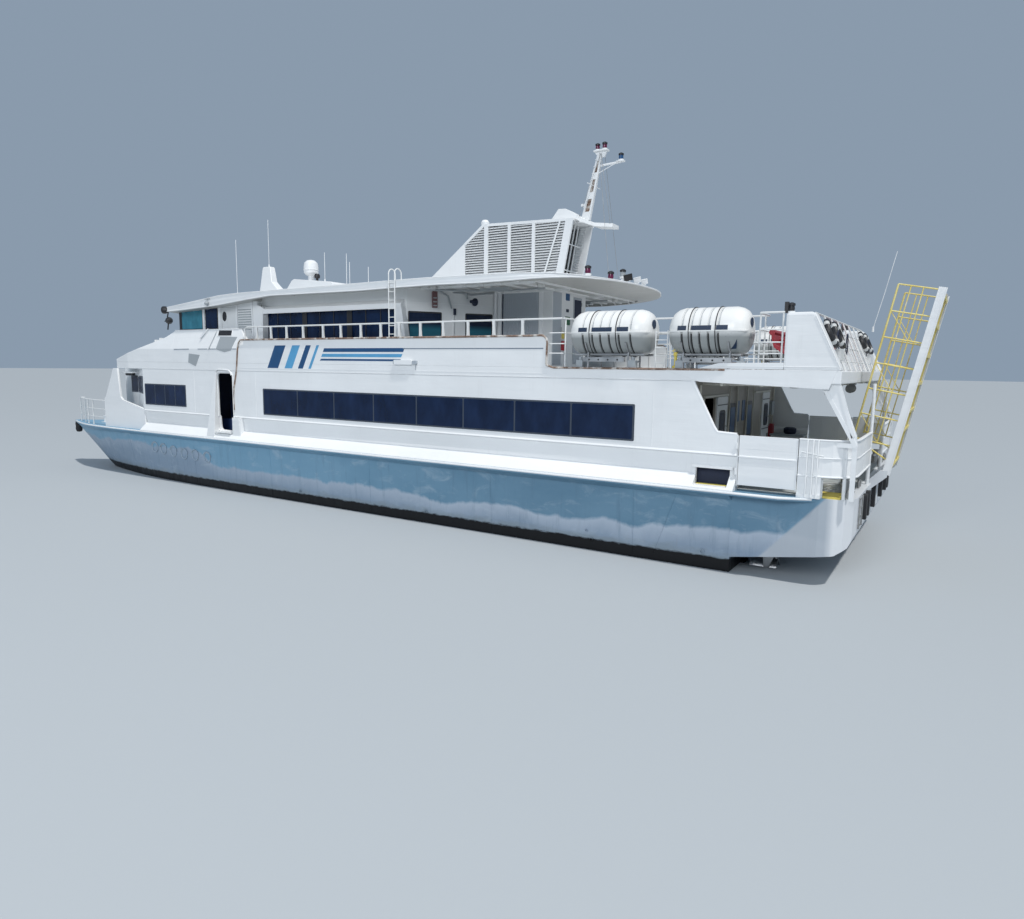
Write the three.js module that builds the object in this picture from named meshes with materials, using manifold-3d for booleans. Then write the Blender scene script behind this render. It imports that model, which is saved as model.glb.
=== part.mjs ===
// Aluminium passenger catamaran with waterjets, about 34 m long, lying stern-to with its boarding ramp up.
// Units are millimetres. Stations (x) run forward from the transom, y is to port, z is up from the waterline.
import * as THREE from 'three';
import { mergeVertices } from 'three/addons/utils/BufferGeometryUtils.js';
import Module from 'manifold-3d';

const wasm = await Module();
wasm.setup();

// Driving dimensions
const lengthOverall = 34000;
const gap = 0.3;
const deckZ = 2000;
const wetDeckZ = 1000;
const knuckleZ = 2820;
const ceilingZ = 4500;
const upperDeckZ = 4780;
const bulwarkZ = 5600;
const coamingZ = 6000;
const railZ = 5950;
const roofUnderZ = 7000;
const roofTopZ = 7250;
const roofCeilingZ = 7200;
const sideY = 4450;
const sheerY = 4700;
const tunnelY = 1800;
const plate = 60;
const hullEnd = 2600;
const overhangFront = hullEnd - gap;
const cabinSplit = 20740;
const doorAft = 20800;
const doorFore = 21650;
const doorSillZ = 2300;
const doorHeadZ = 4400;
const bulkheadX = 3650;
const cabinBend = 26550;
const cabinFrontX = 28200;
const cabinFrontY = 3700;
const loungeY = 3700;
const loungeAftX = 13080;
const trunkY = 1150;
const trunkForeX = 11380;
const trunkAftX = 9320;
const bridgeAftX = 19950;
const bridgeY = 3900;
const bridgeFrontX = 24800;
const bulwarkAftX = 7600;
const coamingAftX = 20100;
const coamingFrontX = 24450;

const white = [0xeef0f0, 0.45, 0.1];
const palette = {
  hull: [0xb9c4cc, 0.5, 0.15],
  white,
  deck: [0x9aa3a6, 0.8, 0.0],
  glass: [0x0e1a30, 0.15, 0.0],
  raft: [0xf2f1ea, 0.4, 0.0],
  red: [0xa03038, 0.5, 0.0],
  metal: [0xa8adb0, 0.4, 0.8],
  yellow: [0xd9c560, 0.5, 0.1],
};

// Solids from three.js geometry, joined and cut as closed bodies
function solidOf(geometry) {
  const merged = mergeVertices(stripped(geometry), 1e-3);
  const vertProperties = new Float32Array(merged.attributes.position.array);
  const triVerts = new Uint32Array(merged.index.array);
  return new wasm.Manifold(new wasm.Mesh({ numProp: 3, vertProperties, triVerts }));
}

function geometryOf(solid) {
  const mesh = solid.getMesh();
  const geometry = new THREE.BufferGeometry();
  geometry.setAttribute('position', new THREE.BufferAttribute(new Float32Array(mesh.vertProperties), 3));
  geometry.setIndex(new THREE.BufferAttribute(new Uint32Array(mesh.triVerts), 1));
  geometry.computeVertexNormals();
  return geometry;
}

function join(...geometries) {
  return geometryOf(geometries.map(solidOf).reduce((whole, next) => whole.add(next)));
}

function cut(body, ...tools) {
  return geometryOf(tools.map(solidOf).reduce((whole, next) => whole.subtract(next), solidOf(body)));
}

function common(...geometries) {
  return geometryOf(geometries.map(solidOf).reduce((whole, next) => whole.intersect(next)));
}

function mirrored(geometry) {
  const other = mergeVertices(stripped(geometry), 1e-3);
  other.scale(1, -1, 1);
  const index = other.index.array;
  for (let i = 0; i < index.length; i += 3) {
    [index[i + 1], index[i + 2]] = [index[i + 2], index[i + 1]];
  }
  return other;
}

function stripped(geometry) {
  const bare = geometry.clone();
  bare.deleteAttribute('normal');
  bare.deleteAttribute('uv');
  return bare;
}

function shapeOf(points) {
  return new THREE.Shape(points.map(([a, b]) => new THREE.Vector2(a, b)));
}

// Outline of [x, z] points, carried across from y0 to y1
function acrossY(points, y0, y1) {
  const geometry = new THREE.ExtrudeGeometry(shapeOf(points), { depth: y1 - y0, bevelEnabled: false });
  geometry.rotateX(Math.PI / 2);
  geometry.translate(0, y1, 0);
  return geometry;
}

// Outline of [x, y] points, carried up from z0 to z1
function upZ(points, z0, z1) {
  const geometry = new THREE.ExtrudeGeometry(shapeOf(points), { depth: z1 - z0, bevelEnabled: false });
  geometry.translate(0, 0, z0);
  return geometry;
}

// Outline of [y, z] points, carried along from x0 to x1
function alongX(points, x0, x1) {
  const geometry = new THREE.ExtrudeGeometry(shapeOf(points), { depth: x1 - x0, bevelEnabled: false });
  const axes = [new THREE.Vector3(0, 1, 0), new THREE.Vector3(0, 0, 1), new THREE.Vector3(1, 0, 0)];
  geometry.applyMatrix4(new THREE.Matrix4().makeBasis(...axes));
  geometry.translate(x0, 0, 0);
  return geometry;
}

function box([x0, x1], [y0, y1], [z0, z1]) {
  const geometry = new THREE.BoxGeometry(x1 - x0, y1 - y0, z1 - z0);
  geometry.translate((x0 + x1) / 2, (y0 + y1) / 2, (z0 + z1) / 2);
  return geometry;
}

// Rectangle with rounded corners, as points
function roundedRect([a0, a1], [b0, b1], radius, steps = 3) {
  const centres = [[a1 - radius, b0 + radius, -90], [a1 - radius, b1 - radius, 0],
    [a0 + radius, b1 - radius, 90], [a0 + radius, b0 + radius, 180]];
  return centres.flatMap(([a, b, start]) => Array.from({ length: steps + 1 }, (_, i) => {
    const angle = THREE.MathUtils.degToRad(start + 90 * i / steps);
    return [a + radius * Math.cos(angle), b + radius * Math.sin(angle)];
  }));
}

// Straight round bar between two points
function bar(from, to, radius, sides = 6) {
  const a = new THREE.Vector3(...from);
  const b = new THREE.Vector3(...to);
  const geometry = new THREE.CylinderGeometry(radius, radius, a.distanceTo(b), sides);
  const along = b.clone().sub(a).normalize();
  geometry.applyQuaternion(new THREE.Quaternion().setFromUnitVectors(new THREE.Vector3(0, 1, 0), along));
  geometry.translate(...a.add(b).multiplyScalar(0.5).toArray());
  return geometry;
}

// Closed skin over a row of sections that have equal numbers of [x, y, z] points
function loft(sections) {
  const count = sections[0].length;
  const faces = [];
  for (let s = 0; s + 1 < sections.length; s += 1) {
    for (let i = 0; i < count; i += 1) {
      const a = s * count + i;
      const b = s * count + (i + 1) % count;
      faces.push([a, b, b + count], [a, b + count, a + count]);
    }
  }
  const last = (sections.length - 1) * count;
  capFaces(sections[0]).forEach(([a, b, c]) => faces.push([a, c, b]));
  capFaces(sections[sections.length - 1]).forEach(([a, b, c]) => faces.push([last + a, last + b, last + c]));
  const points = sections.flat().map((point) => new THREE.Vector3(...point));
  const volume = faces.reduce((sum, [a, b, c]) => sum + points[a].dot(points[b].clone().cross(points[c])), 0);
  const outward = volume > 0 ? faces : faces.map(([a, b, c]) => [a, c, b]);
  const geometry = new THREE.BufferGeometry().setFromPoints(points);
  geometry.setIndex(outward.flat());
  return geometry;
}

// Triangles over a plane section, turning the way its points run
function capFaces(section) {
  const seen = [[1, 2], [0, 2], [0, 1]].map(([u, v]) => section.map((p) => new THREE.Vector2(p[u], p[v])));
  const areas = seen.map((contour) => Math.abs(THREE.ShapeUtils.area(contour)));
  const contour = seen[areas.indexOf(Math.max(...areas))];
  const faces = THREE.ShapeUtils.triangulateShape(contour, []);
  const same = THREE.ShapeUtils.area(faces[0].map((i) => contour[i])) * THREE.ShapeUtils.area(contour) > 0;
  return same ? faces : faces.map(([a, b, c]) => [a, c, b]);
}

// Scene graph
const ferry = new THREE.Group();
const stations = new THREE.Group();
stations.position.x = -lengthOverall / 2;
ferry.add(stations);

function piece(name, geometry, look, position = [0, 0, 0]) {
  const [color, roughness, metalness] = palette[look];
  const mesh = new THREE.Mesh(geometry, new THREE.MeshStandardMaterial({ color, roughness, metalness }));
  mesh.name = name;
  mesh.position.set(...position);
  stations.add(mesh);
  return mesh;
}

// The same piece on both sides, built for port
function pair(name, geometry, look, position = [0, 0, 0]) {
  const [x, y, z] = position;
  piece(`${name}_port`, geometry, look, position);
  piece(`${name}_starboard`, mirrored(geometry), look, [x, -y, z]);
}

// Demihull sections. Columns: station, sheer y, shoulder y and z, chine y and z, keel y and z,
// inner chine y, inner side y and z, deck flange y and z
const hullSections = [
  [2600, 4700, 4420, 1760, 4300, -250, 3100, -950, 1990, 1850, 1500, 1800, 1700],
  [6000, 4700, 4420, 1760, 4330, -350, 3100, -1200, 1960, 1850, 1500, 1800, 1700],
  [14000, 4700, 4420, 1760, 4330, -400, 3100, -1300, 1960, 1850, 1500, 1800, 1700],
  [22000, 4700, 4420, 1760, 4300, -350, 3100, -1300, 1990, 1850, 1500, 1800, 1700],
  [26000, 4690, 4380, 1760, 4170, -200, 3120, -1300, 2200, 1960, 1500, 1800, 1700],
  [29000, 4620, 4260, 1740, 3860, 120, 3180, -1080, 2720, 2340, 1480, 1800, 1700],
  [31000, 4450, 4080, 1700, 3640, 520, 3260, -60, 3030, 2760, 1460, 1800, 1700],
  [32500, 4080, 3860, 1700, 3540, 1180, 3360, 960, 3220, 3080, 1500, 2500, 1720],
  [33900, 3580, 3560, 1900, 3500, 1880, 3470, 1865, 3440, 3400, 1885, 3390, 1900],
];

function demihull() {
  const keelHalf = 70;
  return loft(hullSections.map(([x, sheer, shoulder, shoulderZ, chine, chineZ, keel, keelZ,
    innerChine, inner, innerZ, flange, flangeZ]) => {
    const half = Math.min(keelHalf, (chine - innerChine) / 4);
    return [
      [x, flange, deckZ], [x, flange, flangeZ], [x, inner, innerZ], [x, innerChine, chineZ],
      [x, keel - half, keelZ], [x, keel + half, keelZ], [x, chine, chineZ],
      [x, shoulder, shoulderZ], [x, sheer, deckZ - 90], [x, sheer, deckZ],
    ];
  }));
}

// Waterjet at each hull's transom: duct end, and a fork that holds the steering nozzle
const jetY = 3100;
const jetZ = -60;
const nozzleX = 2150;
const nozzleRadius = 290;

function hullWithJet() {
  const duct = bar([2700, jetY, jetZ], [2500, jetY, jetZ], 200, 16);
  const fork = [1, -1].map((way) => {
    const near = jetZ + way * (nozzleRadius + 12);
    const far = jetZ + way * (nozzleRadius + 42);
    return box([nozzleX - 60, 2700], [jetY - 90, jetY + 90], [Math.min(near, far), Math.max(near, far)]);
  });
  return join(demihull(), duct, ...fork);
}

pair('hull', hullWithJet(), 'hull');

// Deck between the hulls, with a raised front
const bridgeProfile = [[hullEnd, wetDeckZ], [28500, wetDeckZ], [30000, 1200], [31500 - gap, 1650],
  [31500 - gap, deckZ], [hullEnd, deckZ]];
piece('bridge_deck', acrossY(bridgeProfile, -tunnelY + gap, tunnelY - gap), 'hull');

// Stern overhang behind the hulls, with rounded quarters and a lip that ends in a point
const quarterRadius = 700;
const rampHalf = 1150;
const rampLugY = rampHalf + 66;
const overhangY = 4420;

function sternPlan(halfWidth, radius) {
  const corner = Array.from({ length: 5 }, (_, i) => {
    const angle = Math.PI / 2 * (i / 4);
    return [radius * (1 - Math.sin(angle)), halfWidth - radius * (1 - Math.cos(angle))];
  });
  const portSide = [[overhangFront, halfWidth], ...corner];
  return [...portSide, ...portSide.slice().reverse().map(([x, y]) => [x, -y])];
}

function sternOverhang() {
  const profile = [[overhangFront, 400], [350, 740], [120, 900], [0, 1200], [0, deckZ],
    [overhangFront, deckZ]];
  const body = common(acrossY(profile, -sheerY, sheerY), upZ(sternPlan(overhangY, quarterRadius), 0, deckZ));
  const tunnel = box([-100, hullEnd], [-tunnelY, tunnelY], [0, wetDeckZ]);
  const lipPlan = [[overhangFront, overhangY - 50], [overhangFront, sheerY], [1500, sheerY],
    [700, overhangY - 30]];
  const lip = upZ(lipPlan, deckZ - 90, deckZ);
  const bitt = (x, y) => bar([x, y, deckZ - 20], [x, y, deckZ + 380], 60, 8);
  const bitts = [[350, 3500], [350, 3150]].map(([x, y]) => bitt(x, y));
  const crossbar = bar([350, 3020, deckZ + 260], [350, 3630, deckZ + 260], 40, 8);
  const lugOutline = [[120, deckZ - 60], [120, deckZ + 20], [-180, 2340], [-340, 2340], [-340, 2180],
    [20, deckZ - 160]];
  const lug = acrossY(lugOutline, rampLugY, rampLugY + 70);
  const fittings = join(...bitts, crossbar, lug);
  return join(cut(body, tunnel), lip, mirrored(lip), fittings, mirrored(fittings));
}

piece('stern_overhang', sternOverhang(), 'hull');

// Superstructure side: wall above the knuckle, tucked-in strake below it, and a ledge out to the sheer
const wallBase = deckZ + gap;
const wallHead = ceilingZ - gap;
const sideSection = [
  [sideY, wallHead], [sideY - plate, wallHead], [sideY - plate, knuckleZ + 50], [sideY - 115, knuckleZ - 30],
  [sideY - 145, 2330], [sideY - 145, wallBase], [sheerY - 10, wallBase], [sheerY - 10, deckZ + 25],
  [sideY - 80, 2330], [sideY - 50, knuckleZ - 30], [sideY + 25, knuckleZ - 5], [sideY, knuckleZ + 40],
];
const windowRow = { aft: 5070, fore: 19100, bottom: 2980, top: 3900, panes: 8, bar: 60 };
const foreWindowRow = { aft: 23650, fore: 26430, bottom: 3060, top: 3910, panes: 4, bar: 60 };

function paneHoles({ aft, fore, bottom, top, panes, bar: post }, y0, y1) {
  const pitch = (fore - aft) / panes;
  return Array.from({ length: panes }, (_, i) => box(
    [aft + i * pitch + post, aft + (i + 1) * pitch - post], [y0, y1], [bottom + post, top - post]));
}

function cabinSide() {
  const x0 = 2520;
  const wall = alongX(sideSection, x0, cabinSplit - gap);
  const deckOpening = acrossY([[x0 - 50, 3300], [2850, 3300], [2990, 3340], [3080, 3450],
    [3620, ceilingZ + 50], [x0 - 50, ceilingZ + 50]], sideY - 400, sideY + 400);
  const mooringHole = box([2680, 3480], [sideY - 400, sideY + 400], [2070, 2480]);
  const locker = box([20280, cabinSplit - gap], [sideY - 120, sideY + 110], [2060, 2800]);
  return cut(join(wall, locker), deckOpening, mooringHole, ...paneHoles(windowRow, sideY - 400, sideY + 400));
}

pair('cabin_side', cabinSide(), 'white');

function glazing({ aft, fore, bottom, top }) {
  return box([aft, fore], [sideY + gap, sideY + 12], [bottom, top]);
}

pair('cabin_glass', glazing(windowRow), 'glass');
pair('forward_glass', glazing(foreWindowRow), 'glass');

// Forward cabin side: door opening with a flared frame, window row, and a bevelled corner
function cabinForward() {
  const straight = alongX(sideSection, cabinSplit, cabinBend);
  const bend = upZ([[cabinBend - 20, sideY], [cabinBend - 20, sideY - plate],
    [cabinFrontX - gap, cabinFrontY - plate], [cabinFrontX - gap, cabinFrontY + 10]], wallBase, wallHead);
  const rect = (x0, x1, y0, y1, z) => [[x0, y0, z], [x1, y0, z], [x1, y1, z], [x0, y1, z]];
  const frame = loft([rect(doorFore + 20, doorFore + 480, sideY - 100, sheerY - 20, wallBase + 10),
    rect(doorFore + 20, doorFore + 80, sideY - 40, sideY + 50, doorHeadZ + 40)]);
  const doorOutline = roundedRect([doorAft, doorFore], [doorSillZ, doorHeadZ], 110);
  const doorway = acrossY(doorOutline, sideY - 400, sideY + 400);
  const cornerHole = box([26720, 28050], [3300, sideY + 100], [3200, 3900]);
  return cut(join(straight, bend, frame), doorway, cornerHole,
    ...paneHoles(foreWindowRow, sideY - 400, sideY + 400));
}

pair('cabin_forward', cabinForward(), 'white');

// Forward bulwark that ends in a fin under the front of the upper deck
const finOutline = [[cabinBend + gap, deckZ + gap], [29600, deckZ + gap], [29560, 3200], [29450, 3280],
  [28750, ceilingZ - gap], [28450, ceilingZ - gap], [28300, 3300], [28150, 3180], [cabinBend + gap, 2860]];
const bendClearance = upZ([[cabinBend - 20, sideY + 2 * gap], [cabinBend - 20, sideY - 200],
  [cabinFrontX, cabinFrontY - 200], [cabinFrontX, cabinFrontY + 10 + 2 * gap]], 0, ceilingZ);
pair('bow_fin', cut(acrossY(finOutline, sideY - 90, sideY), bendClearance), 'white');

// Front of the cabin, with its windows and the foredeck doorway
const foredeckDoor = { half: 410, bottom: 2150, top: 4110 };

function cabinFront() {
  const y = cabinFrontY - plate + 20;
  const wall = box([cabinFrontX, cabinFrontX + plate], [-y, y], [wallBase, wallHead]);
  const doorway = box([cabinFrontX - 50, cabinFrontX + 150], [-foredeckDoor.half, foredeckDoor.half],
    [foredeckDoor.bottom, foredeckDoor.top]);
  const holes = [[700, 1600], [1720, 2620], [2740, 3500]].flatMap(([y0, y1]) => [
    box([cabinFrontX - 50, cabinFrontX + 150], [y0, y1], [3150, 3950]),
    box([cabinFrontX - 50, cabinFrontX + 150], [-y1, -y0], [3150, 3950])]);
  return cut(wall, doorway, ...holes);
}

piece('cabin_front', cabinFront(), 'white');

// Bulkhead at the aft deck, with two doorways
const aftDoor = { inner: 2500, outer: 3400, bottom: 2060, top: 4050 };

function aftBulkhead() {
  const y = sideY - 145 - gap;
  const wall = box([bulkheadX, bulkheadX + plate], [-y, y], [wallBase, wallHead]);
  const doorway = acrossDoor(aftDoor.inner, aftDoor.outer);
  return cut(wall, doorway, mirrored(doorway));
}

function acrossDoor(y0, y1) {
  return alongX(roundedRect([y0, y1], [aftDoor.bottom, aftDoor.top], 80), bulkheadX - 60, bulkheadX + 120);
}

piece('aft_bulkhead', aftBulkhead(), 'white');

// Quarter bulwark: side panel, curved corner plate and the slanted stanchion to the upper deck
function quarter() {
  const outer = 650;
  const bend = (radius) => Array.from({ length: 6 }, (_, i) => {
    const angle = Math.PI / 2 * (i / 5);
    return [outer + 40 - radius * Math.sin(angle), sideY - outer + radius * Math.cos(angle)];
  });
  const edge = 40;
  const plan = [[1180, sideY], ...bend(outer), [edge, 1500], [edge + plate, 1500],
    ...bend(outer - plate).reverse(), [1180, sideY - plate]];
  const rail = upZ(plan, 2480, 3300);
  const panel = box([690, 1180], [sideY - plate, sideY], [wallBase + 60, 2600]);
  const foot = box([690, 1180], [sideY - 150, sideY + 40], [wallBase, wallBase + 90]);
  const posts = [[700, sideY - 130], [252, 4238], [edge + 30, 1530]].map(([x, y]) =>
    bar([x + 0.01, y, wallBase], [x, y, 3200], 38, 8));
  const brace = acrossY([[30, 3150], [130, 3150], [150, 3350], [820, wallHead], [480, wallHead], [60, 3420]],
    sideY - 140, sideY - 70);
  const post = box([30, 130], [sideY - 140, sideY - 70], [wallBase, 3200]);
  const tie = box([30, 760], [sideY - 150, sideY - 60], [3150, 3250]);
  return join(rail, panel, foot, ...posts, brace, post, tie);
}

pair('quarter', quarter(), 'white');

// Upper deck and what stands on it
const upperBase = upperDeckZ + gap;
const upperHead = roofUnderZ - gap;
const upperAftX = 430;
const upperPlan = [[upperAftX, sideY], [27600, sideY], [28650, sideY - 120], [29150, 3200], [29300, 1500]];
const closed = (half) => [...half, ...half.slice().reverse().map(([x, y]) => [x, -y])];

piece('upper_deck', upZ(closed(upperPlan), ceilingZ, upperDeckZ), 'white');

function bulwark() {
  const wall = acrossY([[bulwarkAftX, upperBase], [coamingAftX, upperBase], [coamingAftX, bulwarkZ],
    [bulwarkAftX + 150, bulwarkZ], [bulwarkAftX + 40, bulwarkZ - 40], [bulwarkAftX, bulwarkZ - 150]],
  sideY - plate, sideY);
  const coamingSection = [[bridgeY + gap, upperBase], [sideY, upperBase], [sideY, 5300],
    [sideY - 190, coamingZ], [bridgeY + gap, coamingZ]];
  const coaming = alongX(coamingSection, coamingAftX, coamingFrontX - gap);
  const slope = acrossY([[coamingAftX - 50, bulwarkZ], [coamingAftX, bulwarkZ],
    [coamingAftX + 350, coamingZ + 50], [coamingAftX - 50, coamingZ + 50]], bridgeY - 100, sideY + 100);
  return cut(join(wall, coaming), slope);
}

pair('bulwark', bulwark(), 'white');

// Sloping front below the wheelhouse windows
function slopedFront() {
  const profile = [[coamingFrontX, upperBase], [28850, upperBase], [28800, 4850], [25200, 5700],
    [24950, 5780], [coamingFrontX, coamingZ]];
  const plan = closed([[coamingFrontX, sideY], [27600, sideY], [28650, sideY - 120], [28900, 3200],
    [28950, 1500]]);
  const section = [[-sideY, upperBase], [sideY, upperBase], [sideY, 5300], [sideY - 190, coamingZ],
    [-sideY + 190, coamingZ], [-sideY, 5300]];
  const face = common(acrossY(profile, -sideY, sideY), upZ(plan, upperBase, coamingZ),
    alongX(section, coamingFrontX, 29000));
  const well = box([coamingFrontX - 10, bridgeFrontX + 400], [-bridgeY - gap, bridgeY + gap],
    [upperBase - 10, coamingZ + 10]);
  return cut(face, well);
}

piece('sloped_front', slopedFront(), 'white');

// House on the upper deck: wide lounge whose aft wall slants in to a narrow trunk
const loungeWindows = [[13550, 15500], [15650, 17650], [17800, 19800]];
const trunkWall = { from: new THREE.Vector2(loungeAftX, loungeY), to: new THREE.Vector2(trunkForeX, trunkY) };
const slantWindows = [[0.02, 0.36], [0.64, 0.93]];
const houseHead = roofCeilingZ - gap;

function houseSide() {
  const { from, to } = trunkWall;
  const along = to.clone().sub(from).normalize();
  const inward = new THREE.Vector2(-along.y, along.x);
  const inner = from.clone().addScaledVector(inward, plate);
  const innerAt = (y) => inner.x + (y - inner.y) * along.x / along.y;
  const plan = [[bridgeAftX - gap, loungeY], [from.x, from.y], [to.x, to.y], [trunkAftX, trunkY],
    [trunkAftX, trunkY - plate], [innerAt(trunkY - plate), trunkY - plate],
    [innerAt(loungeY - plate), loungeY - plate], [bridgeAftX - gap, loungeY - plate]];
  const slantHoles = slantWindows.map(([start, end]) => {
    const corner = (share, off) => from.clone().lerp(to, share).addScaledVector(inward, off).toArray();
    return upZ([corner(start, -200), corner(end, -200), corner(end, 260), corner(start, 260)], 5300, 6430);
  });
  const loungeHoles = loungeWindows.map((x) => box(x, [loungeY - 200, loungeY + 200], [5500, 6580]));
  return cut(upZ(plan, upperBase, houseHead), ...loungeHoles, ...slantHoles);
}

pair('house_side', houseSide(), 'white');

const houseDoor = { middle: -560, half: 300, bottom: 4900, top: 7080 };

function houseAft() {
  const y = trunkY - plate - gap;
  const wall = box([trunkAftX, trunkAftX + plate], [-y, y], [upperBase, houseHead]);
  const { middle, half, bottom, top } = houseDoor;
  const doorway = box([trunkAftX - 50, trunkAftX + 150], [middle - half, middle + half], [bottom, top]);
  return cut(wall, doorway);
}

piece('house_aft', houseAft(), 'white');

// Wheelhouse: sides with doorways and windows, faceted front, aft wall
const bridgeDoor = { aft: 21200, fore: 22050, bottom: 4950, top: 6850 };
const bridgeCornerX = 24620;
const bridgePanes = [[22280, 23000], [23200, 24540]];
const bridgeSillZ = 6060;
const bridgeHeadZ = 6820;

function bridgeSide() {
  const wall = box([bridgeAftX + plate + gap, bridgeCornerX], [bridgeY - plate, bridgeY],
    [upperBase, upperHead]);
  const through = [bridgeY - 200, bridgeY + 200];
  const doorway = box([bridgeDoor.aft, bridgeDoor.fore], through, [bridgeDoor.bottom, bridgeDoor.top]);
  const panes = bridgePanes.map((x) => box(x, through, [bridgeSillZ, bridgeHeadZ]));
  return cut(wall, doorway, ...panes);
}

pair('bridge_side', bridgeSide(), 'white');

function bridgeFront() {
  const outer = closed([[bridgeCornerX + gap, bridgeY], [bridgeFrontX - 100, bridgeY],
    [bridgeFrontX + 300, 2600], [bridgeFrontX + 380, 900]]);
  const inner = closed([[bridgeCornerX - 50, bridgeY - plate], [bridgeFrontX - 140, bridgeY - plate],
    [bridgeFrontX + 240, 2570], [bridgeFrontX + 320, 880]]);
  const ring = cut(upZ(outer, upperBase, upperHead), upZ(inner, upperBase - 50, upperHead + 50));
  const hole = (y0, y1) =>
    box([bridgeFrontX - 60, bridgeFrontX + 600], [y0, y1], [bridgeSillZ, bridgeHeadZ]);
  const half = [[960, 2500], [2720, 3700]];
  return cut(ring, hole(-800, 800), ...half.flatMap(([y0, y1]) => [hole(y0, y1), hole(-y1, -y0)]));
}

piece('bridge_front', bridgeFront(), 'white');

const bridgeAft = box([bridgeAftX, bridgeAftX + plate], [-bridgeY, bridgeY], [upperBase, upperHead]);
piece('bridge_aft', bridgeAft, 'white');

// Roof, thicker over the wheelhouse, with a narrow tail and a deep edge round its ceiling
function roof() {
  const profile = [[6750, 7080], [9000, roofUnderZ], [20300, roofUnderZ], [25800, 7080], [25800, 7140],
    [22700, 7420], [19600, 7420], [17800, roofTopZ], [8000, roofTopZ], [6750, 7150]];
  const half = [[25800, 1800], [25500, 3000], [24700, 4400], [12500, 4400], [10300, 4280], [8900, 4100],
    [7900, 3800], [7480, 3250], [7180, 2550], [6940, 1800], [6800, 1000], [6750, 1]];
  const ceilingHalf = [[bridgeAftX, 4200], [12500, 4200], [10300, 4080], [8900, 3900], [8400, 3500],
    [8100, 2600], [8000, 1]];
  const body = common(acrossY(profile, -4500, 4500), upZ(closed(half), 6900, 7500));
  return cut(body, upZ(closed(ceilingHalf), 6900, roofCeilingZ));
}

piece('roof', roof(), 'white');

// Louvred air casing on the roof, open aft, with a head piece that carries the mast
const casingHalf = 700;
const casingBase = roofTopZ + gap;

function casing() {
  const outline = [[9310, casingBase], [15380, casingBase], [12310, 9520], [8890, 9400]];
  const inside = [[9000, casingBase + 40], [15240, casingBase + 40], [12310, 9455], [8600, 9325]];
  const shell = cut(acrossY(outline, -casingHalf, casingHalf),
    acrossY(inside, -casingHalf + 50, casingHalf - 50));
  const head = acrossY([[9941, 9400], [9941, 9470], [9648, 9815], [9400, 9800], [8756, 9430], [8380, 9280],
    [7765, 9205], [7765, 9089], [8300, 9140], [8850, 9330]], -330, 330);
  return join(shell, head);
}

piece('casing', casing(), 'white');

function mast() {
  const leg = loft([
    [[8650, -60, 9398], [8960, -60, 9557], [8960, 60, 9557], [8650, 60, 9398]],
    [[8270, -40, 11480], [8430, -40, 11480], [8430, 40, 11480], [8270, 40, 11480]]]);
  const top = box([8100, 8570], [-120, 120], [11440, 11500]);
  const arm = box([7580, 8370], [-40, 40], [11030, 11090]);
  const lamps = [[8220, 0, 11500], [8460, 0, 11500], [7660, 0, 11090]].map(([x, y, z]) =>
    bar([x, y, z - 20], [x, y, z + 230], 75, 8));
  return join(leg, top, arm, ...lamps);
}

piece('mast', mast(), 'white');

// Radar dome on its housing
function roofGear() {
  const base = 7420 + gap;
  const housing = acrossY([[19670, base], [22600, base], [22030, 8160], [19670, 7960]], -550, 550);
  const dome = new THREE.SphereGeometry(300, 10, 6);
  dome.translate(21450, 0, 8760);
  const neck = bar([21450, 0, 8050], [21450, 0, 8600], 120, 8);
  return join(housing, neck, dome);
}

piece('radar_housing', roofGear(), 'white');

// Life raft canisters, two on a side, on one cradle at the deck's edge
const rafts = [{ aft: 2420, fore: 4310 }, { aft: 4770, fore: 6960 }];
const raftY = 4050;
const raftZ = 5660;
const raftRadius = 570;

function raftRow() {
  const canister = ({ aft, fore }) => {
    const half = (fore - aft) / 2;
    const profile = [[0, -half], [0.55, -half], [0.85, -half * 0.86], [1, -half * 0.62], [1, half * 0.62],
      [0.85, half * 0.86], [0.55, half], [0, half]].map(([r, y]) => new THREE.Vector2(r * raftRadius, y));
    const body = new THREE.LatheGeometry(profile, 12);
    body.rotateZ(Math.PI / 2);
    body.translate((aft + fore) / 2, raftY, raftZ);
    return body;
  };
  const runners = [raftY - 300, raftY + 300].map((y) => box([2600, 6800], [y - 40, y + 40], [5080, 5200]));
  const saddles = [2850, 3880, 5300, 6430].map((x) =>
    box([x - 50, x + 50], [raftY - 390, raftY + 390], [upperBase, 5230]));
  return join(...rafts.map(canister), ...runners, ...saddles);
}

pair('rafts', raftRow(), 'raft');

// Gable fins at the stern of the upper deck
const gableOutline = [[upperAftX, upperBase], [1620, upperBase], [1620, 6040], [1100, 6040], [1020, 6000]];
pair('gable', acrossY(gableOutline, sideY - 400, sideY), 'white');

// Rails of the upper deck: one steps inboard behind the raft canisters, one stands on the bulwark
const railRadius = 24;
const lowRailZ = [5150, 5400, 5680];
const railEdgeY = sideY - 60;
const raftBayForeX = 7150;

function railRun(points, z, half) {
  return points.slice(1).map(([x, y], i) => {
    const [fromX, fromY] = points[i];
    return box([Math.min(fromX, x) - half, Math.max(fromX, x) + half],
      [Math.min(fromY, y) - half, Math.max(fromY, y) + half], [z - half, z + half]);
  });
}

function railPost([x, y], foot) {
  return box([x - 20, x + 20], [y - 20, y + 20], [foot, railZ]);
}

function raftRail() {
  const innerY = 3380;
  const route = [[1665, railEdgeY], [2200, railEdgeY], [2200, innerY], [raftBayForeX, innerY],
    [raftBayForeX, railEdgeY]];
  const low = lowRailZ.flatMap((z) => railRun([...route, [bulwarkAftX - 30, railEdgeY]], z, 15));
  const innerPosts = Array.from({ length: 4 }, (_, i) => [3190 + i * 990, innerY]);
  return join(...low, ...railRun(route, railZ, railRadius),
    ...[...route, ...innerPosts].map((point) => railPost(point, upperBase)));
}

pair('raft_rail', raftRail(), 'white');

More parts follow.
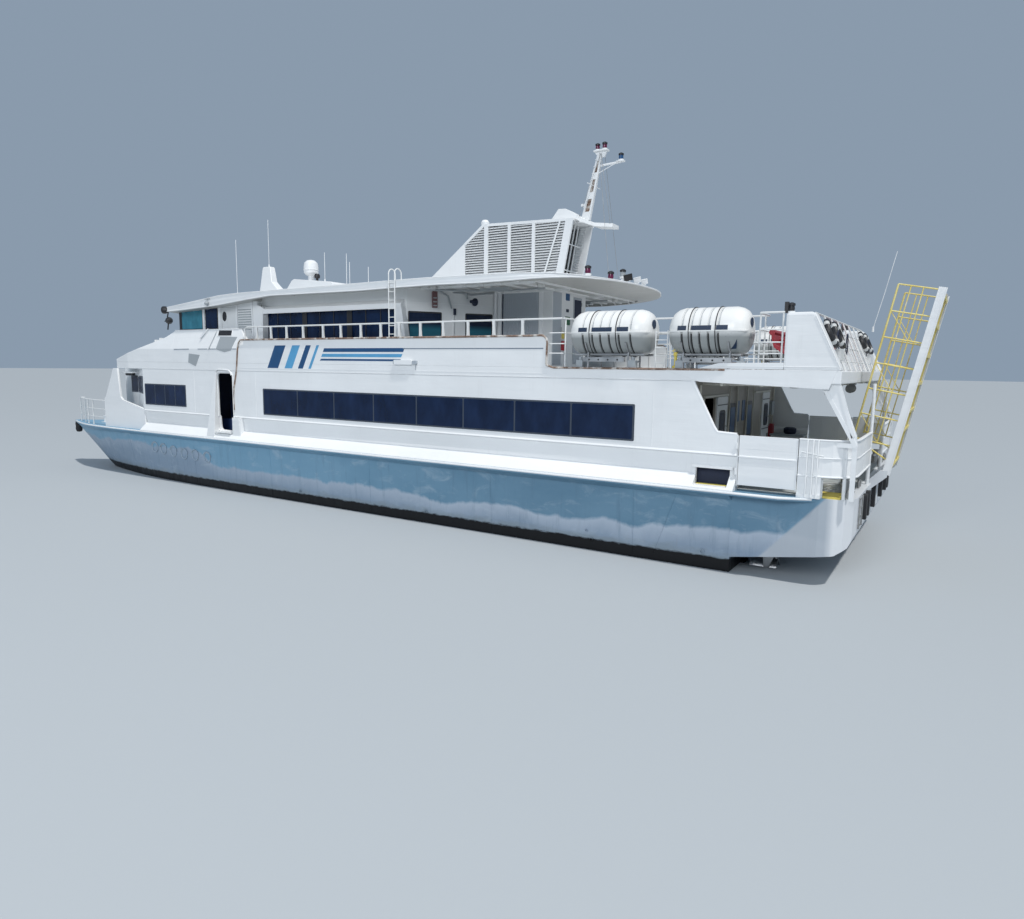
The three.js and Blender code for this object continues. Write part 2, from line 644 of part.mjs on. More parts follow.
function sideRail() {
  const aftEnd = raftBayForeX + 2 * railRadius + gap;
  const top = railRun([[aftEnd, railEdgeY], [20060, railEdgeY]], railZ, railRadius);
  const posts = Array.from({ length: 13 }, (_, i) => [8300 + i * 950, railEdgeY]);
  return join(...top, ...posts.map((point) => railPost(point, bulwarkZ + gap)));
}

pair('side_rail', sideRail(), 'white');

function sternRail() {
  const half = sideY - 400 - 2;
  const slopeX = (z) => upperAftX + 120 + (z - upperDeckZ) * 0.43;
  const bars = [5000, 5350, 5700, 6040].map((z) =>
    box([slopeX(z) - 18, slopeX(z) + 18], [-half, half], [z - 18, z + 18]));
  const posts = Array.from({ length: 9 }, (_, i) => -half + 60 + i * (2 * half - 120) / 8);
  const feet = box([0, 2000], [-half, half], [upperDeckZ - 100, upperBase]);
  const slanted = posts.map((y) => bar([slopeX(upperDeckZ), y, upperDeckZ], [slopeX(6050), y, 6050], 26, 4));
  return cut(join(...bars, ...slanted), feet);
}

piece('stern_rail', sternRail(), 'white');

function bowRail() {
  const route = [[29640, 4330], [31000, 4220], [32300, 3900], [33200, 3640]];
  const heights = [2350, 2700, 3080];
  const runs = heights.flatMap((z) =>
    route.slice(1).map(([x, y], i) => bar([...route[i], z], [x, y, z + 0.01], 22, 4)));
  const posts = route.map(([x, y]) => bar([x, y, deckZ + gap], [x, y + 0.01, 3090], 26, 4));
  return join(...runs, ...posts);
}

pair('bow_rail', bowRail(), 'white');

// Rescue boat across the stern of the upper deck
function rescueBoat() {
  const rows = [[-900, 60, 5500], [-500, 450, 5200], [400, 640, 5060], [1900, 640, 5060],
    [2800, 560, 5120]];
  const centre = 1720;
  const hull = loft(rows.map(([y, half, keel]) => [
    [centre - half, y, 5720], [centre - half * 0.95, y, 5400], [centre, y, keel],
    [centre + half * 0.95, y, 5400], [centre + half, y, 5720]]));
  const chocks = [100, 1900].map((y) =>
    box([centre - 380, centre + 380], [y - 60, y + 60], [upperBase, 5300]));
  return join(hull, ...chocks);
}

piece('rescue_boat', rescueBoat(), 'red');

// Sliding side doors inside the cabin wall: the port one stands open, the starboard one is shut
const leafGap = 8;
const sideLeaf = { width: doorFore - doorAft + 120, height: doorHeadZ - doorSillZ + 120 };
const sideLeafY = sideY - 145 - leafGap - 25;

function slidingLeaf(width, height, thickness) {
  const outline = roundedRect([-width / 2, width / 2], [0, height], 90);
  const window = box([-width / 2 + 220, width / 2 - 220], [-200, 200], [height * 0.55, height * 0.85]);
  return cut(acrossY(outline, -thickness / 2, thickness / 2), window);
}

const doorMiddle = (doorAft + doorFore) / 2;
const sideTravel = 1000;
const leaf = slidingLeaf(sideLeaf.width, sideLeaf.height, 40);
piece('side_door_port', leaf, 'white', [doorMiddle - sideTravel, sideLeafY, doorSillZ - 60]);
piece('side_door_starboard', mirrored(leaf), 'white', [doorMiddle, -sideLeafY, doorSillZ - 60]);

// Sliding doors on the aft face of the bulkhead: the port one stands open, the starboard one is shut
const aftTravel = 960;

function aftLeaf() {
  const width = aftDoor.outer - aftDoor.inner + 40;
  const height = aftDoor.top - aftDoor.bottom + 30;
  const outline = roundedRect([-width / 2, width / 2], [0, height], 60);
  const window = alongX(roundedRect([-230, 230], [height * 0.5, height * 0.82], 90), -100, 100);
  return cut(alongX(outline, -20, 20), window);
}

const aftLeafX = bulkheadX - leafGap - 20;
const aftDoorMiddle = (aftDoor.inner + aftDoor.outer) / 2;
piece('aft_door_port', aftLeaf(), 'white', [aftLeafX, aftDoorMiddle - aftTravel, aftDoor.bottom - 15]);
piece('aft_door_starboard', aftLeaf(), 'white', [aftLeafX, -aftDoorMiddle, aftDoor.bottom - 15]);

// Boarding gates in the side, hinged on their forward edge and opening inwards
const gateHinge = [2480, sideY - plate / 2, 2100];
const gateWidth = 1270;

function gate() {
  const panel = box([-gateWidth, 0], [-plate / 2, plate / 2], [40, 1190]);
  const lip = box([-gateWidth, 0], [plate / 2 - 5, plate / 2 + 25], [knuckleZ - 2140, knuckleZ - 2100]);
  return join(panel, lip);
}

pair('gate', gate(), 'white', gateHinge);

// Hinged doors: each turns on the face that it opens towards, with a gap round the leaf
const leafThickness = 40;
const leafPlay = 8;
const hingeOff = 6;

// Leaf that reaches aft from its hinge and opens inwards
function aftReachingLeaf({ aft, fore, bottom, top }) {
  return box([aft - fore + 2 * leafPlay, 0], [hingeOff, hingeOff + leafThickness],
    [leafPlay, top - bottom - leafPlay]);
}

pair('bridge_door', aftReachingLeaf(bridgeDoor), 'white',
  [bridgeDoor.fore - leafPlay, bridgeY - plate - hingeOff, bridgeDoor.bottom]);

// Leaf across the ship that reaches to port from its hinge: side is 1 where it opens aft, -1 forward
function crossLeaf({ half, bottom, top }, side) {
  const near = side * hingeOff;
  const far = side * (hingeOff + leafThickness);
  return box([Math.min(near, far), Math.max(near, far)], [0, 2 * half - 2 * leafPlay],
    [leafPlay, top - bottom - leafPlay]);
}

piece('house_door', crossLeaf(houseDoor, 1), 'white',
  [trunkAftX - hingeOff, houseDoor.middle - houseDoor.half + leafPlay, houseDoor.bottom]);
piece('foredeck_door', crossLeaf(foredeckDoor, -1), 'white',
  [cabinFrontX + plate + hingeOff, leafPlay - foredeckDoor.half, foredeckDoor.bottom]);

// Boarding ramp at the stern, raised and leaning aft, with a rail on each side
const rampPivot = [-260, 0, 2260];
const rampLean = 11;
const rampLength = 4600;

function ramp() {
  const deck = box([-70, -20], [-rampHalf + 40, rampHalf - 40], [60, rampLength - 100]);
  const beam = (y) => box([-130, 40], [y - 45, y + 45], [-20, rampLength]);
  const rungs = [200, 1600, 3000, rampLength - 160].map((z) =>
    box([-130, 20], [-rampHalf, rampHalf], [z - 40, z + 40]));
  const railing = (y) => {
    const reach = 900;
    const heights = [350, 620, reach];
    const low = 700;
    const high = rampLength - 60;
    const long = heights.map((x) => box([x - 18, x + 18], [y - 18, y + 18], [low, high]));
    const posts = [low, 1980, 3260, high].map((z) =>
      box([0, reach + 20], [y - 20, y + 20], [z - 20, z + 20]));
    return [...long, ...posts];
  };
  const tube = bar([0, -rampHalf - 60, 0], [0, rampHalf + 60, 0.01], 60, 10);
  const whole = join(deck, beam(-rampHalf), beam(rampHalf), ...rungs, ...railing(-rampHalf),
    ...railing(rampHalf), tube);
  whole.rotateY(THREE.MathUtils.degToRad(-rampLean));
  return whole;
}

piece('ramp', ramp(), 'yellow', rampPivot);

// Waterjets: steering nozzle on a vertical pin and a reversing bucket above it
function nozzle() {
  const profile = [[nozzleRadius, 200], [250, 200], [190, -420], [230, -420]]
    .map(([r, y]) => new THREE.Vector2(r, y));
  const points = [...profile, profile[0]];
  const body = new THREE.LatheGeometry(points, 16);
  body.rotateZ(-Math.PI / 2);
  return body;
}

function bucket() {
  const arc = (radius, from, to) => Array.from({ length: 6 }, (_, i) => {
    const angle = THREE.MathUtils.degToRad(from + (to - from) * i / 5);
    return [-radius * Math.cos(angle), radius * Math.sin(angle)];
  });
  const shell = acrossY([...arc(430, 50, 100), ...arc(400, 100, 50)], -300, 300);
  const arm = acrossY([[-30, -40], [30, -40], [70, 405], [-200, 350]], 0, 25);
  const left = arm.clone();
  left.translate(0, 290, 0);
  const right = arm.clone();
  right.translate(0, -315, 0);
  return join(shell, left, right);
}

pair('nozzle', nozzle(), 'metal', [nozzleX, jetY, jetZ]);
pair('bucket', bucket(), 'metal', [nozzleX - 180, jetY, jetZ]);

export default ferry;
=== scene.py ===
import math

import bmesh
import bpy
from mathutils import Matrix, Vector, noise


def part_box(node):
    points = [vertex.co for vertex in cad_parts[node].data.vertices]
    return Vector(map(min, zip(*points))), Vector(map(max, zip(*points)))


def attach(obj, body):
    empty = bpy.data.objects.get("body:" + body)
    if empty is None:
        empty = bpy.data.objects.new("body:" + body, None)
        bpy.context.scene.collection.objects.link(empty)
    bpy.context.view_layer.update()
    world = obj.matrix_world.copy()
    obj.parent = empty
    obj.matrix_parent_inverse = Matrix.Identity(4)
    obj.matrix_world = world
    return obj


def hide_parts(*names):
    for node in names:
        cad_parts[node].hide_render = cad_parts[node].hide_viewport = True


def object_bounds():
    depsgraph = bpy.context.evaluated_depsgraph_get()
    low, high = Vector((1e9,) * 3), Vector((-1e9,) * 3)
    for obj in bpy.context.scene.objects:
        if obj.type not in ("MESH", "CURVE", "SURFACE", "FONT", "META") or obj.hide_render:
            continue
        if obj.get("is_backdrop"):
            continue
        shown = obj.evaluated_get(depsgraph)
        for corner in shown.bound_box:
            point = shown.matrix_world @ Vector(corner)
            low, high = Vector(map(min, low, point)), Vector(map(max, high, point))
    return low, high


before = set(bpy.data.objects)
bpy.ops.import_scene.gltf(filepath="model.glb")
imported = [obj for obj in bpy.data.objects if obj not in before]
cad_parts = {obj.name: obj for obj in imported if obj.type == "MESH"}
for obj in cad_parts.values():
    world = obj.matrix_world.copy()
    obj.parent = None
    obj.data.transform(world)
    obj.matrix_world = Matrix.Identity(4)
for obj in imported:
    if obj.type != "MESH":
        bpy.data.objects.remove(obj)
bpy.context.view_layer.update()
bpy.context.scene.render.film_transparent = False

# Ship dimensions in metres. Stations run forward from the transom, heights are above the waterline
HALF_LENGTH = 17.0
DECK_Z = 2.0
KNUCKLE_Z = 2.82
UPPER_Z = 4.78
BULWARK_Z = 5.6
RAIL_Z = 6.05
SIDE_Y = 4.45
SHEER_Y = 4.7
LOUNGE_Y = 3.7
BRIDGE_Y = 3.9
SIDES = {"port": 1, "starboard": -1}
# Edges sharper than this are bevelled, and vertices nearer than this are one
EDGE_ANGLE = math.radians(40)
SAME_POINT = 1e-5


def soften(piece, width):
    """Bevels the sharp edges of a mesh object."""
    edge = piece.modifiers.new("edge", "BEVEL")
    edge.width, edge.segments, edge.limit_method = width, 2, "ANGLE"
    edge.angle_limit = EDGE_ANGLE


def placed(name, data):
    """New object in the scene."""
    item = bpy.data.objects.new(name, data)
    bpy.context.collection.objects.link(item)
    return item


def tilt(degrees, axis):
    """Rotation about an axis."""
    return Matrix.Rotation(math.radians(degrees), 3, axis)


class Shape:
    """Vertices and faces of one piece, gathered from simple solids. Its x is the station forward of the transom."""

    def __init__(self):
        self.verts = []
        self.faces = []
        self.looks = []
        self.look = 0

    def add(self, verts, faces):
        base = len(self.verts)
        self.verts.extend(tuple(v) for v in verts)
        self.faces.extend(tuple(base + i for i in face) for face in faces)
        self.looks.extend([self.look] * len(faces))

    def rows(self, rows, closed=True, caps=True):
        """Skin over rows of points, each row with the same count."""
        count = len(rows[0])
        steps = count if closed else count - 1
        faces = []
        for r in range(len(rows) - 1):
            for i in range(steps):
                a, b = r * count + i, r * count + (i + 1) % count
                faces.append((a, b, b + count, a + count))
        if caps and closed:
            last = (len(rows) - 1) * count
            faces.append(tuple(reversed(range(count))))
            faces.append(tuple(last + i for i in range(count)))
        self.add([p for row in rows for p in row], faces)

    def box(self, low, high):
        (x0, y0, z0), (x1, y1, z1) = low, high
        ring = [(x0, y0), (x1, y0), (x1, y1), (x0, y1)]
        self.rows([[(x, y, z) for x, y in ring] for z in (z0, z1)])

    def prism(self, outline, axis, start, end):
        """Outline carried along an axis: [y, z] points for x, [x, z] for y, [x, y] for z."""
        place = {"x": lambda a, b, t: (t, a, b), "y": lambda a, b, t: (a, t, b), "z": lambda a, b, t: (a, b, t)}[axis]
        self.rows([[place(a, b, t) for a, b in outline] for t in (start, end)])

    def tube(self, path, radius, sides=10, closed=False):
        """Round tube along a path of points."""
        path = [Vector(p) for p in path]
        count = len(path)
        side = None
        rings = []
        for i, point in enumerate(path):
            before = path[i - 1] if i or closed else path[0]
            after = path[(i + 1) % count] if i + 1 < count or closed else path[-1]
            along = (after - before).normalized()
            if side is None:
                side = along.orthogonal().normalized()
            side = (side - along * side.dot(along)).normalized()
            up = along.cross(side)
            rings.append([point + radius * (math.cos(t) * side + math.sin(t) * up)
                          for t in around(sides)])
        if closed:
            rings.append(rings[0])
        self.rows(rings, caps=not closed)

    def lathe(self, profile, centre, axis="z", steps=24):
        """Profile of (radius, height) points turned about an axis through centre."""
        centre = Vector(centre)
        rings = []
        for radius, height in profile:
            ring = []
            for t in around(steps):
                a, b = radius * math.cos(t), radius * math.sin(t)
                ring.append(centre + Vector({"x": (height, a, b), "y": (b, height, a), "z": (a, b, height)}[axis]))
            rings.append(ring)
        self.rows(rings)

    def disc(self, radius, low, high, centre, axis="z", steps=24):
        """Solid cylinder between two heights on an axis through centre."""
        self.lathe([(0.0, low), (radius, low), (radius, high), (0.0, high)], centre, axis, steps)

    def turned(self, pivot, matrix, start=0):
        """Turns the vertices from start on about a pivot."""
        pivot = Vector(pivot)
        for i in range(start, len(self.verts)):
            self.verts[i] = tuple(pivot + matrix @ (Vector(self.verts[i]) - pivot))

    def mirrored(self):
        """The same shape on the other side of the ship."""
        other = Shape()
        other.verts = [(x, -y, z) for x, y, z in self.verts]
        other.faces = [tuple(reversed(face)) for face in self.faces]
        other.looks = list(self.looks)
        return other

    def piece(self, name, materials, slot, body="vessel", replaces=(), bevel=0.0, smooth=35):
        """Makes the piece as a mesh object that rides on a body."""
        mesh = bpy.data.meshes.new(name)
        mesh.from_pydata([(x - HALF_LENGTH, y, z) for x, y, z in self.verts], [], self.faces)
        for polygon, look in zip(mesh.polygons, self.looks):
            polygon.material_index = look
        for material in materials:
            mesh.materials.append(material)
        work = bmesh.new()
        work.from_mesh(mesh)
        bmesh.ops.remove_doubles(work, verts=work.verts, dist=SAME_POINT)
        bmesh.ops.recalc_face_normals(work, faces=work.faces)
        work.to_mesh(mesh)
        work.free()
        piece = placed(name, mesh)
        if bevel:
            soften(piece, bevel)
        mesh.shade_smooth()
        mesh.set_sharp_from_angle(angle=math.radians(smooth))
        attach(piece, body)
        if replaces:
            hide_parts(*replaces)
        return piece


def around(count):
    """Evenly spaced angles round a circle, in radians."""
    return [2 * math.pi * k / count for k in range(count)]


def arc(centre, radius, start, end, steps):
    """Points of a plane arc, angles in degrees."""
    return [(centre[0] + radius * math.cos(math.radians(t)), centre[1] + radius * math.sin(math.radians(t)))
            for t in (start + (end - start) * i / steps for i in range(steps + 1))]


def rounded(a0, a1, b0, b1, radius, steps=4):
    """Outline of a rectangle with rounded corners."""
    return (arc((a1 - radius, b0 + radius), radius, -90, 0, steps)
            + arc((a1 - radius, b1 - radius), radius, 0, 90, steps)
            + arc((a0 + radius, b1 - radius), radius, 90, 180, steps)
            + arc((a0 + radius, b0 + radius), radius, 180, 270, steps))


def about(station, y, z, radius, angles):
    """Points round an axis along the ship, angles in degrees from port, upwards."""
    return [(station, y + radius * math.cos(math.radians(t)), z + radius * math.sin(math.radians(t))) for t in angles]


def spread(start, end, count):
    """Evenly spaced values, both ends included."""
    return [start + (end - start) * i / (count - 1) for i in range(count)]


def curve(points, steps):
    """Smooth curve through points, straight pieces from steps to a span."""
    ends = [points[0], *points, points[-1]]
    out = []
    for a, b, c, d in zip(ends, ends[1:], ends[2:], ends[3:]):
        for k in range(steps):
            t = k / steps
            out.append(tuple(0.5 * (2 * q + (r - p) * t + (2 * p - 5 * q + 4 * r - w) * t * t
                                    + (3 * q - p - 3 * r + w) * t ** 3) for p, q, r, w in zip(a, b, c, d)))
    return out + [tuple(points[-1])]


def along(table, station):
    """Value at a station from (station, value) pairs, straight between them."""
    for (a, va), (b, vb) in zip(table, table[1:]):
        if station <= b:
            return va + (vb - va) * max((station - a) / max(b - a, 1e-6), 0)
    return table[-1][1]


def both_sides(name, shape, materials, slot, body="vessel", replaced=None, **options):
    """The shape, built for port, on both sides of the ship."""
    for side, turned in (("port", shape), ("starboard", shape.mirrored())):
        turned.piece(f"{name}_{side}", materials, slot, body if body == "vessel" else f"{body}_{side}",
                     replaces=[f"{replaced}_{side}"] if replaced else (), **options)


# Materials. Object coordinates are metres in the ship's frame
BUMP_STRENGTH = 0.6


class Nodes:
    """Short ways to add shader nodes to one material."""

    def __init__(self, name):
        self.material = bpy.data.materials.new(name)
        self.material.use_nodes = True
        self.tree = self.material.node_tree
        self.shader = self.tree.nodes["Principled BSDF"]
        self.place = self.add("TexCoord").outputs["Object"]

    def set(self, socket, value):
        """Gives a socket a value, a colour of three numbers, or a link from another socket."""
        if isinstance(value, bpy.types.NodeSocket):
            self.tree.links.new(value, socket)
        elif socket.type == "RGBA":
            socket.default_value = (*value, 1.0)
        else:
            socket.default_value = value

    def add(self, kind, **inputs):
        """New shader node. Spaces in the names of its inputs are written as underscores."""
        node = self.tree.nodes.new("ShaderNode" + kind)
        for name, value in inputs.items():
            self.set(node.inputs[name.replace("_", " ")], value)
        return node

    def noise(self, scale, stretch=(1, 1, 1), detail=4, rough=0.6, distort=0.0):
        place = self.add("Mapping", Scale=stretch, Vector=self.place).outputs["Vector"]
        return self.add("TexNoise", Scale=scale, Detail=detail, Roughness=rough, Distortion=distort,
                        Vector=place).outputs["Fac"]

    def ramp(self, value, low, high, floor=0.0, top=1.0):
        """Maps value from low..high onto floor..top, clamped."""
        return self.add("MapRange", From_Min=low, From_Max=high, To_Min=floor, To_Max=top,
                        Value=value).outputs["Result"]

    def math(self, operation, a, b):
        node = self.add("Math")
        node.operation = operation
        for socket, value in zip(node.inputs, (a, b)):
            self.set(socket, value)
        return node.outputs["Value"]

    def mix(self, factor, a, b):
        """Mixes two colours, each a tuple or a socket."""
        node = self.add("Mix")
        node.data_type = "RGBA"
        for socket, value in zip([s for s in node.inputs if s.type == "RGBA"], (a, b)):
            self.set(socket, value)
        self.set(node.inputs["Factor"], factor)
        return next(s for s in node.outputs if s.type == "RGBA")

    def position(self, axis):
        """One of the X, Y and Z coordinates in metres. Z is the height above the waterline."""
        return self.add("SeparateXYZ", Vector=self.place).outputs[axis]

    def bump(self, *layers):
        """Layers of (height value, depth in metres)."""
        normal = None
        for value, distance in layers:
            node = self.add("Bump", Distance=distance, Strength=BUMP_STRENGTH, Height=value)
            if normal:
                self.set(node.inputs["Normal"], normal)
            normal = node.outputs["Normal"]
        self.set(self.shader.inputs["Normal"], normal)

    def finish(self, color, roughness, metallic=0.0, **sockets):
        for name, value in {"Base_Color": color, "Roughness": roughness, "Metallic": metallic, **sockets}.items():
            self.set(self.shader.inputs[name.replace("_", " ")], value)
        return self.material


def shade(color, factor):
    """The colour, darker by a factor."""
    return tuple(c * factor for c in color)


RUST = (0.23, 0.10, 0.045)
GRIME = (0.33, 0.31, 0.27)


def marine_paint(name, color, grime=0.35, rust=0.25, rough=0.42, foot=None):
    """Brushed marine paint with grime runs, a few rust weeps and slightly uneven plate.

    Foot holds the colour of painted shade on the underside and the heights it fades between.
    """
    n = Nodes(name)
    broad = n.noise(0.35, detail=3)
    tone = n.mix(n.ramp(broad, 0.35, 0.68), shade(color, 0.93), color)
    runs = n.noise(3.2, stretch=(2.2, 2.2, 0.16), detail=6, rough=0.7)
    patches = n.noise(0.9, detail=5, rough=0.65)
    soiled = n.math("MULTIPLY", n.ramp(runs, 0.54, 0.80), n.ramp(patches, 0.45, 0.75, 0.0, grime * 0.7))
    tone = n.mix(soiled, tone, GRIME)
    weeps = n.noise(5.5, stretch=(2.6, 2.6, 0.12), detail=7, rough=0.75, distort=0.2)
    spots = n.noise(1.7, detail=3)
    weeping = n.math("MULTIPLY", n.ramp(weeps, 0.63, 0.78), n.ramp(spots, 0.56, 0.70, 0.0, rust))
    tone = n.mix(weeping, tone, RUST)
    # Painted shade: the colour darkens towards the underside
    if foot:
        dark, high, low = foot
        tone = n.mix(n.ramp(n.position("Z"), high, low, 0.0, 0.85), tone, dark)
    n.bump((n.noise(1.3, detail=2), 0.02), (n.noise(0.5, stretch=(0.5, 0.5, 5.0)), 0.02),
           (n.noise(160, detail=2), 0.0006))
    gloss = n.ramp(patches, 0.3, 0.75, rough - 0.08, rough + 0.14)
    return n.finish(tone, gloss)


def hull_paint():
    """Hull paint with painted light: blue-grey painted shade and sky reflection, lighter forward, paler painted
    sunlight and water glints low down and on the quarter, grime and rust streaks, over a black boot-top.
    """
    n = Nodes("hull_topside_paint_and_painted_light")
    z = n.position("Z")
    # Blue-grey of the topsides: painted shade of the sheer lip and painted sky reflection, lighter and bluer forward
    broad = n.noise(0.4, stretch=(1, 1, 2))
    tone = n.mix(n.ramp(broad, 0.36, 0.66), (0.115, 0.225, 0.32), (0.15, 0.27, 0.37))
    x = n.position("X")
    tone = n.mix(n.ramp(x, -9.0, 3.0, 0.0, 0.30), tone, (0.32, 0.60, 0.81))
    # Below a wavy edge a paler tone is painted as sunlight under the lip's shadow and light off the water, palest aft
    # and along the edge
    wavy = n.math("ADD", z,
                  n.ramp(n.noise(0.42, stretch=(1, 1, 0.6), detail=5, rough=0.62, distort=0.4), 0.3, 0.7, -0.18, 0.18))
    wavy = n.math("SUBTRACT", wavy, n.ramp(x, 4.7, 6.8, 0.0, 0.5))
    wavy = n.math("SUBTRACT", wavy, n.ramp(x, -13.0, -15.5, 0.0, 0.25))
    sunlit_share = n.math("MULTIPLY", n.ramp(wavy, 0.40, 0.82, 0.30, 1.0), n.ramp(x, -8.0, 9.0, 0.95, 0.40))
    sunlit_tone = n.mix(sunlit_share, (0.20, 0.27, 0.36), (0.48, 0.54, 0.62))
    tone = n.mix(n.ramp(wavy, 0.90, 0.80, 0.0, 0.9), tone, sunlit_tone)
    # Painted reflection: pale ripples of light thrown up off the water
    water_glints = n.noise(1.0, stretch=(1.2, 1.2, 2.6), detail=6, rough=0.68, distort=0.8)
    tone = n.mix(n.ramp(water_glints, 0.54, 0.68, 0.0, 0.30), tone, (0.46, 0.54, 0.61))
    runs = n.noise(2.6, stretch=(2.4, 2.4, 0.2), detail=7, rough=0.72)
    tone = n.mix(n.ramp(runs, 0.54, 0.80, 0.0, 0.5), tone, (0.10, 0.17, 0.24))
    weeps = n.noise(4.5, stretch=(3, 3, 0.14), detail=7, rough=0.75)
    low = n.ramp(z, 1.2, 0.1)
    tone = n.mix(n.math("MULTIPLY", n.ramp(weeps, 0.60, 0.76, 0.0, 0.4), low), tone, RUST)
    scum = n.math("ADD", z, n.ramp(n.noise(1.6, stretch=(1, 1, 3), detail=6, rough=0.7), 0.3, 0.7, -0.10, 0.10))
    tone = n.mix(n.ramp(scum, 0.50, 0.34, 0.0, 0.4), tone, (0.20, 0.23, 0.22))
    # Painted light: the quarter, aft of the slanted edge of the lip's shadow, is painted lighter as if sunlit, and its
    # rounded corner white as a painted highlight
    lip_shadow_edge = n.math("ADD", z, n.math("MULTIPLY", x, 1.126))
    tone = n.mix(n.ramp(lip_shadow_edge, -16.44, -16.52, 0.0, 0.9), tone, (0.41, 0.447, 0.487))
    tone = n.mix(n.ramp(x, -16.45, -16.62, 0.0, 0.85), tone, (0.70, 0.72, 0.74))
    # Black boot-top, carried high enough to also cover the shade along the waterline as painted shade
    boot = n.math("ADD", z, n.ramp(n.noise(3.0, stretch=(1, 1, 3), detail=6, rough=0.7), 0.3, 0.7, -0.035, 0.035))
    tone = n.mix(n.ramp(boot, 0.34, 0.29), tone, (0.003, 0.0035, 0.005))
    n.bump((n.noise(0.9, stretch=(1, 1, 1.4), detail=3), 0.03), (n.noise(120, detail=2), 0.0008))
    return n.finish(tone, n.ramp(runs, 0.35, 0.75, 0.40, 0.60), Specular_IOR_Level=0.3)


def plain(name, color, rough, metallic=0.0, wear=0.15, grain=60, depth=0.0006, **sockets):
    """Even finish with slight mottling and a fine grain."""
    n = Nodes(name)
    mottle = n.noise(2.5, detail=5)
    tone = n.mix(n.ramp(mottle, 0.35, 0.7), shade(color, 1 - wear), color)
    n.bump((n.noise(grain, detail=3), depth))
    return n.finish(tone, n.ramp(mottle, 0.3, 0.75, max(rough - 0.06, 0.02), rough + 0.08), metallic, **sockets)


def glass(name, color, alpha=0.9, rough=0.04, lower=None):
    """Dark tinted glass, slightly uneven. Lower holds the colour of its foot and the heights it fades between."""
    n = Nodes(name)
    wave = n.noise(0.8, detail=2)
    haze = n.noise(2.0, stretch=(1, 1, 0.5), detail=5)
    tone = n.mix(n.ramp(haze, 0.4, 0.75), color, tuple(c * 1.8 + 0.004 for c in color))
    if lower:
        tint, top, foot = lower
        tone = n.mix(n.ramp(n.position("Z"), top, foot, 0.0, 0.9), tone, tint)
    n.bump((wave, 0.004))
    return n.finish(tone, n.ramp(haze, 0.4, 0.8, rough, rough + 0.07), Alpha=alpha, Specular_IOR_Level=0.22)


def rusty_strip():
    """Brown half-round edging whose paint has gone to rust."""
    n = Nodes("rusty_edging")
    flakes = n.noise(9, detail=7, rough=0.75)
    tone = n.mix(n.ramp(flakes, 0.42, 0.6), (0.14, 0.085, 0.06), (0.30, 0.21, 0.16))
    tone = n.mix(n.ramp(n.noise(4, detail=5), 0.50, 0.62, 0.0, 0.9), tone, (0.62, 0.60, 0.56))
    n.bump((flakes, 0.004))
    return n.finish(tone, 0.75)


def non_slip_deck(name, color):
    """Gritty deck paint with worn patches and dark stains."""
    n = Nodes(name)
    walked = n.noise(0.7, detail=5, rough=0.65)
    tone = n.mix(n.ramp(walked, 0.38, 0.68), shade(color, 0.78), color)
    stains = n.noise(2.3, detail=7, rough=0.7)
    tone = n.mix(n.ramp(stains, 0.60, 0.78, 0.0, 0.6), tone, (0.20, 0.19, 0.17))
    n.bump((n.noise(230, detail=2), 0.0015))
    return n.finish(tone, 0.82)


def ramp_paint():
    """Yellow paint rubbed through to white and bare metal."""
    n = Nodes("worn_yellow_paint")
    wear = n.noise(3.5, detail=7, rough=0.72)
    tone = n.mix(n.ramp(wear, 0.44, 0.62), (0.72, 0.58, 0.16), (0.80, 0.70, 0.30))
    tone = n.mix(n.ramp(n.noise(6, stretch=(1, 1, 0.4), detail=6), 0.60, 0.70), tone, (0.70, 0.68, 0.60))
    tone = n.mix(n.ramp(n.noise(11, stretch=(1, 1, 0.3), detail=6), 0.68, 0.76, 0.0, 0.8), tone, RUST)
    n.bump((wear, 0.002))
    return n.finish(tone, 0.5)


WHITE = marine_paint("white_marine_paint", (0.83, 0.845, 0.85))
# Darker copy of the white paint, used as painted shade on the house walls, doors and the band under the roof edge
WHITE_SHADE = marine_paint("house_white_paint_and_painted_shade", (0.76, 0.775, 0.775), grime=0.5, rust=0.3)
# Raft gelcoat, darkened below its flange as painted shade
RAFT_WHITE = marine_paint("raft_gelcoat_and_painted_shade", (0.84, 0.84, 0.82), grime=0.45, rust=0.15, rough=0.3,
                          foot=((0.21, 0.23, 0.23), 5.67, 5.52))
RAIL_WHITE = marine_paint("rail_white_paint", (0.78, 0.79, 0.78), grime=0.4, rust=0.7, rough=0.35)
HULL = hull_paint()
GLASS = glass("navy_window_glass", (0.003, 0.012, 0.040), 0.97)
TEAL_GLASS = glass("teal_wheelhouse_glass", (0.045, 0.20, 0.27), 0.9)
LOUNGE_GLASS = glass("lounge_window_glass", (0.006, 0.012, 0.032), 0.97, lower=((0.02, 0.13, 0.18), 6.10, 5.92))
MULLION = plain("window_mullion", (0.045, 0.06, 0.085), 0.4)
RUBBER = plain("black_rubber", (0.018, 0.018, 0.02), 0.7, grain=90, depth=0.001)
BLACK = plain("black_paint_and_painted_shade", (0.02, 0.02, 0.023), 0.45)
RUSTY = rusty_strip()
DECK_GREY = non_slip_deck("grey_deck_paint", (0.42, 0.45, 0.45))
NAVY = plain("navy_stripe_paint", (0.010, 0.075, 0.20), 0.4)
SKY = plain("light_blue_stripe_paint", (0.10, 0.36, 0.62), 0.4)
ALUMINIUM = plain("bare_aluminium", (0.50, 0.51, 0.52), 0.38, metallic=0.9, wear=0.3, grain=40)
STEEL = plain("galvanised_fitting", (0.42, 0.42, 0.41), 0.5, metallic=0.7, wear=0.4, grain=30)
GREY_PAINT = marine_paint("grey_equipment_paint_and_painted_shadow", (0.36, 0.39, 0.41), grime=0.5)
SHUTTER = marine_paint("grey_shutter_paint_and_painted_shade", (0.40, 0.44, 0.48), grime=0.4)
GREEN_SIGN = plain("green_sign", (0.015, 0.12, 0.05), 0.5)
